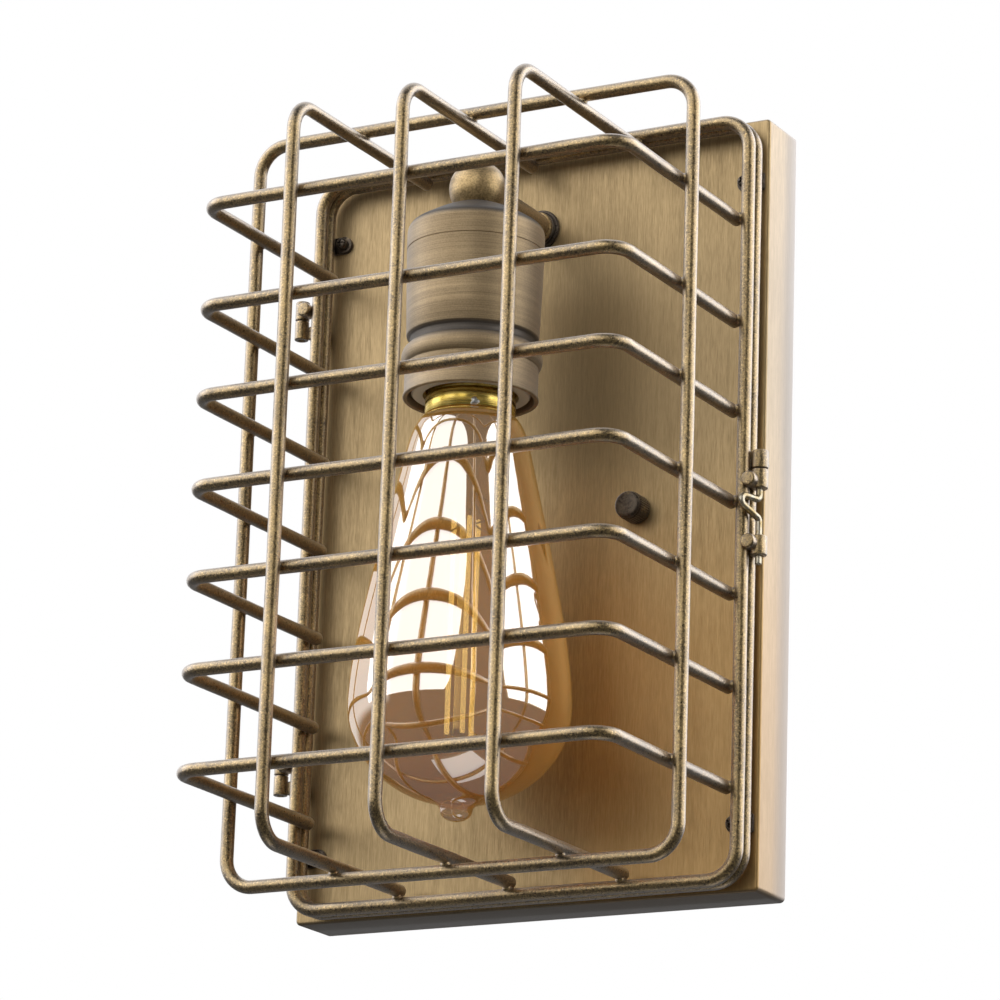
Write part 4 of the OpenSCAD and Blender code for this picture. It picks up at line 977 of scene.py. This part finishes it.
class WALLLIGHT_OT_bulb(bpy.types.Operator):
    """Builds the bulb: glass, screw cap, stem, supports and filament rods"""
    bl_idname = "wall_light.bulb"
    bl_label = "Bulb"

    def execute(self, context):
        s = context.scene.wall_light_bulb
        bottom, tip, wall = s.bottom / MM, s.tip / MM, s.wall / MM
        rim = box_mm("bulb_screw_cap")[0][2]
        r = (GLASS_HI[0] - GLASS_LO[0]) / 2
        wide = GLASS_LO[2] + tip + bottom
        low, neck, nib = wide - bottom, 12.3, 4.6
        step, leaves = 2.5, 70  # degrees between rings, and where the tip leaves the bottom's arc
        shoulder = np.array([neck + 6.2, rim - 12.4])

        def body(last):
            """The neck, two cubic curves down to the widest point, and an ellipse's arc from
            there to the angle last."""
            return np.concatenate([
                [[neck, rim + 14], [neck, rim]],
                curve((neck, rim), (neck + 3.3, rim - 0.6), (shoulder[0] - 1.3, rim - 6.7),
                      shoulder, 14),
                curve(shoulder, shoulder + [5.8, -25.8], (r, wide + 17.1), (r, wide), 26),
                arc((0, wide), r, bottom, -step, -last, int(last / step) - 1)])

        outside = body(leaves)
        start = outside[-1]
        tilt = math.radians(leaves)
        slope = -np.array([r * math.sin(tilt), bottom * math.cos(tilt)])
        slope /= np.linalg.norm(slope)
        end = low - 0.4 * tip
        nib_line = np.concatenate([
            curve(start, start + 3.5 * slope, (nib + 0.2, low + 0.4), (nib, end), 10),
            arc((0, end), nib, 0.6 * tip, -9, -90, 9)])
        inner = inset(body(90), wall)[::-1]
        line = np.vstack([outside, nib_line, inner, outside[:1]])
        line[len(outside) + len(nib_line) - 1, 0] = 0
        add_piece("bulb_glass_blown", [turned(line, (0, LAMP_Y, 0), count=128)], "bulb",
                  finish("bulb_glass"), ["bulb_glass"], sharp=60)
        self.cap(rim)
        self.inside(rim, wide, s.strands)
        dress(finish("black_glass"), "bulb_cap_insulator")
        dress(finish("fine_steel"), "bulb_contact")
        return {"FINISHED"}

    def cap(self, rim):
        """Screw cap: a smooth band, and above it the radius gains a wave of the height less the
        angle, so that its crests climb as a thread. A blob of solder sits on the band."""
        steps, thread_r, pitch, depth, band_r = 79, 12.55, 3.63, 0.42, 13.2
        z = np.concatenate([[0, 0, 0.15, 4.6, 5.2, 5.7], np.linspace(6.0, 20.4, steps),
                            [21.2, 22, 24.2]])
        r = np.concatenate([[12.8, 13.1, band_r, band_r, 13.1, 12.8], np.full(steps, thread_r),
                            [12.4, 12.2, 7.2]])
        outside = np.stack([r, z + rim], 1)
        inside = outside[::-1] - [0.4, 0]
        inside[:, 0] = np.where(inside[:, 0] < 7.5, 7.2, np.minimum(inside[:, 0], 12.4))
        inside[0, 1] -= 0.4
        line = np.vstack([outside, inside, outside[:1]])

        def thread(angle, radius, height):
            """Radius plus the thread's wave, faded in above the band and out below the top."""
            up = height - rim
            gain = np.clip((up - 5.8) / 1.5, 0, 1) * np.clip((20.6 - up) / 1.5, 0, 1)
            return radius + depth * gain * np.cos(2 * np.pi * up / pitch - angle)

        shell = turned(line, (0, LAMP_Y, 0), count=96, radius=thread)
        add_piece("bulb_screw_cap_rolled", [shell], "bulb", finish("bright_brass"),
                  ["bulb_screw_cap"], sharp=50)
        a = math.radians(35)
        out = np.array([math.sin(a), -math.cos(a), 0])
        dome = np.vstack([[[0, -0.2], [1.25, -0.2]], arc((0, -0.1), 1.25, 0.75, 0, 90, 8)])

        def lumps(angle, radius, height):
            """Radius times one plus two small waves round the blob."""
            return radius * (1 + 0.14 * np.cos(3 * angle + 0.8) + 0.08 * np.cos(5 * angle))

        blob = turned(dome, np.array([0, LAMP_Y, rim + 1.1]) + band_r * out, out, 30, lumps)
        add_piece("bulb_cap_solder", [blob], "bulb", finish("zinc_plate"))

    def inside(self, rim, wide, strands):
        """Stem with its flattened press and rod, three rings of whiskers, two spiders of fine
        wire, and the filament rods."""
        press, low, top, circle, rod_r = rim - 17, wide - 7.4, rim - 31.3, 3.6, 0.75
        outer = np.concatenate([
            [[11.3, rim + 12]],
            curve((11.3, rim + 12), (8, rim + 7), (5.4, rim + 3), (5.2, rim - 2), 10),
            curve((5.2, rim - 2), (5.1, press + 8), (4.4, press + 5), (3.4, press), 8),
            [[2.4, press - 1.6], [1.6, press - 3], [1.6, low - 1.2]],
            arc((0, low - 1.2), 1.6, 0.9, 0, -90, 5)])
        flat = np.interp(outer[:, 1], [press - 3, press - 1, press + 6, rim], [1, 0.45, 0.5, 1])
        inner = outer[outer[:, 1] > press + 5][::-1] - [0.9, 0]
        line = np.vstack([outer[::-1], [[10.4, rim + 12]], inner[::-1], [[0, press + 4]]])
        flat = np.concatenate([flat[::-1], [1], np.interp(inner[::-1, 1], [press, press + 6, rim],
                                                         [0.5, 0.5, 1]), [0.5]])
        stem = turned(line, (0, LAMP_Y, 0), count=48, squash=flat)
        add_piece("bulb_stem_pressed", [stem], "bulb", finish("stem_glass"),
                  ["bulb_stem"], sharp=60)
        fine = []

        def strand(path, out, radius, sides, cap):
            """A fine wire in the upright plane that holds the lamp's axis and the direction out."""
            fine.append(wire(path, lambda u, v, c: np.stack(
                [u * out[0] - c * out[1], LAMP_Y + u * out[1] + c * out[0], v], -1), radius,
                sides=sides, cap=cap))

        for z, lean in ((top + 9.5, -0.62), (top, -0.62), (top - 1.0, 0.25)):
            for i in range(strands):
                a = math.radians(20 + 360 * i / strands + 30 * lean)
                out = np.array([math.cos(a), math.sin(a)])
                path = np.array([[1.2, z], [4.5, z + 4.2 * lean], [10.5, z + 10 * lean]])
                strand(path, out, 0.26, 6, 0.05)
        for z in (top, low):
            hub = np.array([[0, z - 0.8], [2.1, z - 0.8], [2.2, z - 0.6], [2.2, z + 0.6],
                            [2.1, z + 0.8], [0, z + 0.8]])
            fine.append(turned(hub, (0, LAMP_Y, 0), count=24))
            for i in range(strands):
                a = math.radians(45 + 360 * i / strands)
                out = np.array([math.cos(a), math.sin(a)])
                path = bent_path([[1.4, z], [circle, z], [circle, z + (3 if z == top else -3)]],
                                 [0, 0.6, 0], spacing=0.6)
                strand(path, out, 0.24, 8, 0.1)
        add_piece("bulb_supports_wire", fine, "bulb", finish("fine_steel"),
                  ["bulb_supports"])
        rod = np.concatenate([arc((0, low - 1 + rod_r), rod_r, rod_r, -90, 0, 5),
                              arc((0, top + 1 - rod_r), rod_r, rod_r, 0, 90, 5)])
        a = np.radians(45 + 360 * np.arange(strands) / strands)
        at = np.stack([circle * np.cos(a), LAMP_Y + circle * np.sin(a), np.zeros(strands)], 1)
        add_piece("bulb_filament_rods", [copies(turned(rod, (0, 0, 0), count=20), at)], "bulb",
                  finish("gold_coat"), ["bulb_filament"])


class WALLLIGHT_OT_fixings(bpy.types.Operator):
    """Finishes the crossbar, its studs and nuts, and the arm's washer and nut"""
    bl_idname = "wall_light.fixings"
    bl_label = "Wall Fixings"

    def execute(self, context):
        dress(finish("zinc_plate"), "crossbar", "stud_lock_nuts", "arm_washer", "arm_lock_nut")
        dress(finish("bright_brass"), "crossbar_studs")
        dress(finish("green_zinc"), "ground_screw")
        return {"FINISHED"}


# ------------------------------------------------------------------ stage


class WALLLIGHT_OT_stage(bpy.types.Operator):
    """Sets the camera, the soft lights, the white surroundings and the floor"""
    bl_idname = "wall_light.stage"
    bl_label = "Stage"

    def execute(self, context):
        s = context.scene.wall_light_stage
        self.camera(context)
        self.softbox("key_light", -31, 30, 1.5, 3.4, 1.7, s.key)
        self.softbox("side_light", 112, 24, 1.4, 2.0, 1.5, s.side)
        self.world(context, s.ambient)
        z = PAN_LO[2] * MM - s.floor_drop
        half, back, count = 0.5, 0.2, 9
        u = np.linspace(-half, half, count)
        points = np.stack([*np.meshgrid(u, u + back, indexing="ij"),
                           np.full((count, count), z)], -1)
        vertices, faces = grid(points)
        mesh = bpy.data.meshes.new("floor")
        mesh.from_pydata(vertices, [], faces.tolist())
        mesh.materials.append(finish("floor_paper"))
        floor = bpy.data.objects.new("floor", mesh)
        context.scene.collection.objects.link(floor)
        context.scene.view_settings.view_transform = "Standard"
        return {"FINISHED"}

    def camera(self, context):
        """Looks up at the light from the front right, with the photograph's tilt."""
        azimuth, elevation, roll = (math.radians(a) for a in (29.31, -16.19, 1.91))
        target, distance = Vector((0.01242, -0.060, -0.0057)), 1.32129
        away = Vector((math.sin(azimuth) * math.cos(elevation),
                       -math.cos(azimuth) * math.cos(elevation), math.sin(elevation)))
        right = (-away).cross(Vector((0, 0, 1))).normalized()
        up = right.cross(-away)
        right, up = (math.cos(roll) * right + math.sin(roll) * up,
                     math.cos(roll) * up - math.sin(roll) * right)
        place = Matrix((right, up, away)).transposed().to_4x4()
        place.translation = target + away * distance
        data = bpy.data.cameras.new("camera")
        data.lens, data.sensor_width, data.clip_start = 165.99, 36, 0.05
        camera = bpy.data.objects.new("camera", data)
        camera.matrix_world = place
        context.scene.collection.objects.link(camera)
        context.scene.camera = camera

    def softbox(self, name, azimuth, elevation, distance, wide, high, level):
        """An area light that faces the lamp. Its power gives it the brightness level."""
        a, e = math.radians(azimuth), math.radians(elevation)
        away = Vector((math.sin(a) * math.cos(e), -math.cos(a) * math.cos(e), math.sin(e)))
        data = bpy.data.lights.new(name, "AREA")
        data.shape, data.size, data.size_y = "RECTANGLE", wide, high
        data.energy = level * math.pi * wide * high
        lamp = bpy.data.objects.new(name, data)
        lamp.location = Vector((0, -0.06, 0)) + away * distance
        lamp.rotation_euler = away.to_track_quat("Z", "Y").to_euler()
        lamp.visible_camera = False
        bpy.context.scene.collection.objects.link(lamp)

    def world(self, context, ambient):
        """White to the camera. All other rays find white at the back left of the light, and grey
        at its front right and below it."""
        world = bpy.data.worlds.new("surroundings")
        world.use_nodes = True
        p = Paint(world.node_tree)
        toward = p.node("ShaderNodeTexCoord", output=0)
        along = p.node("ShaderNodeVectorMath", {"operation": "DOT_PRODUCT"},
                       {0: toward, 1: (-0.695, 0.719, 0)}, output=1)
        rise = p.node("ShaderNodeSeparateXYZ", {}, {0: toward}, output=2)
        behind = p.fade(along, -0.02, 0.14) * p.fade(rise, -0.12, 0.04)
        seen = p.node("ShaderNodeLightPath", output=0)
        level = (ambient + (1 - ambient) * behind) * (1 - seen) + seen
        sky = p.node("ShaderNodeBackground", {}, {"Color": (1, 1, 1, 1), "Strength": level})
        p.node("ShaderNodeOutputWorld", {}, {"Surface": sky})
        context.scene.world = world


OPERATORS = [WALLLIGHT_OT_stage, WALLLIGHT_OT_pan, WALLLIGHT_OT_wires, WALLLIGHT_OT_hinges,
             WALLLIGHT_OT_latch, WALLLIGHT_OT_tabs, WALLLIGHT_OT_knobs, WALLLIGHT_OT_elbow,
             WALLLIGHT_OT_holder, WALLLIGHT_OT_bulb, WALLLIGHT_OT_fixings]


class WALLLIGHT_PT_panel(bpy.types.Panel):
    """Lists the settings and the steps that build the wall light"""
    bl_label = "Cage Wall Light"
    bl_idname = "WALLLIGHT_PT_panel"
    bl_space_type = "VIEW_3D"
    bl_region_type = "UI"
    bl_category = "Wall Light"

    def draw(self, context):
        for name, group in SETTINGS.items():
            box = self.layout.box()
            for key in group.__annotations__:
                box.prop(getattr(context.scene, name), key)
        for operator in OPERATORS:
            self.layout.operator(operator.bl_idname)


def register():
    for item in [*SETTINGS.values(), *OPERATORS, WALLLIGHT_PT_panel]:
        bpy.utils.register_class(item)
    for name, group in SETTINGS.items():
        setattr(bpy.types.Scene, name, bpy.props.PointerProperty(type=group))


def unregister():
    for name in SETTINGS:
        delattr(bpy.types.Scene, name)
    for item in [WALLLIGHT_PT_panel, *OPERATORS, *SETTINGS.values()]:
        bpy.utils.unregister_class(item)


def main():
    register()
    for operator in OPERATORS:
        group, name = operator.bl_idname.split(".")
        getattr(getattr(bpy.ops, group), name)()


if __name__ == "__main__":
    main()
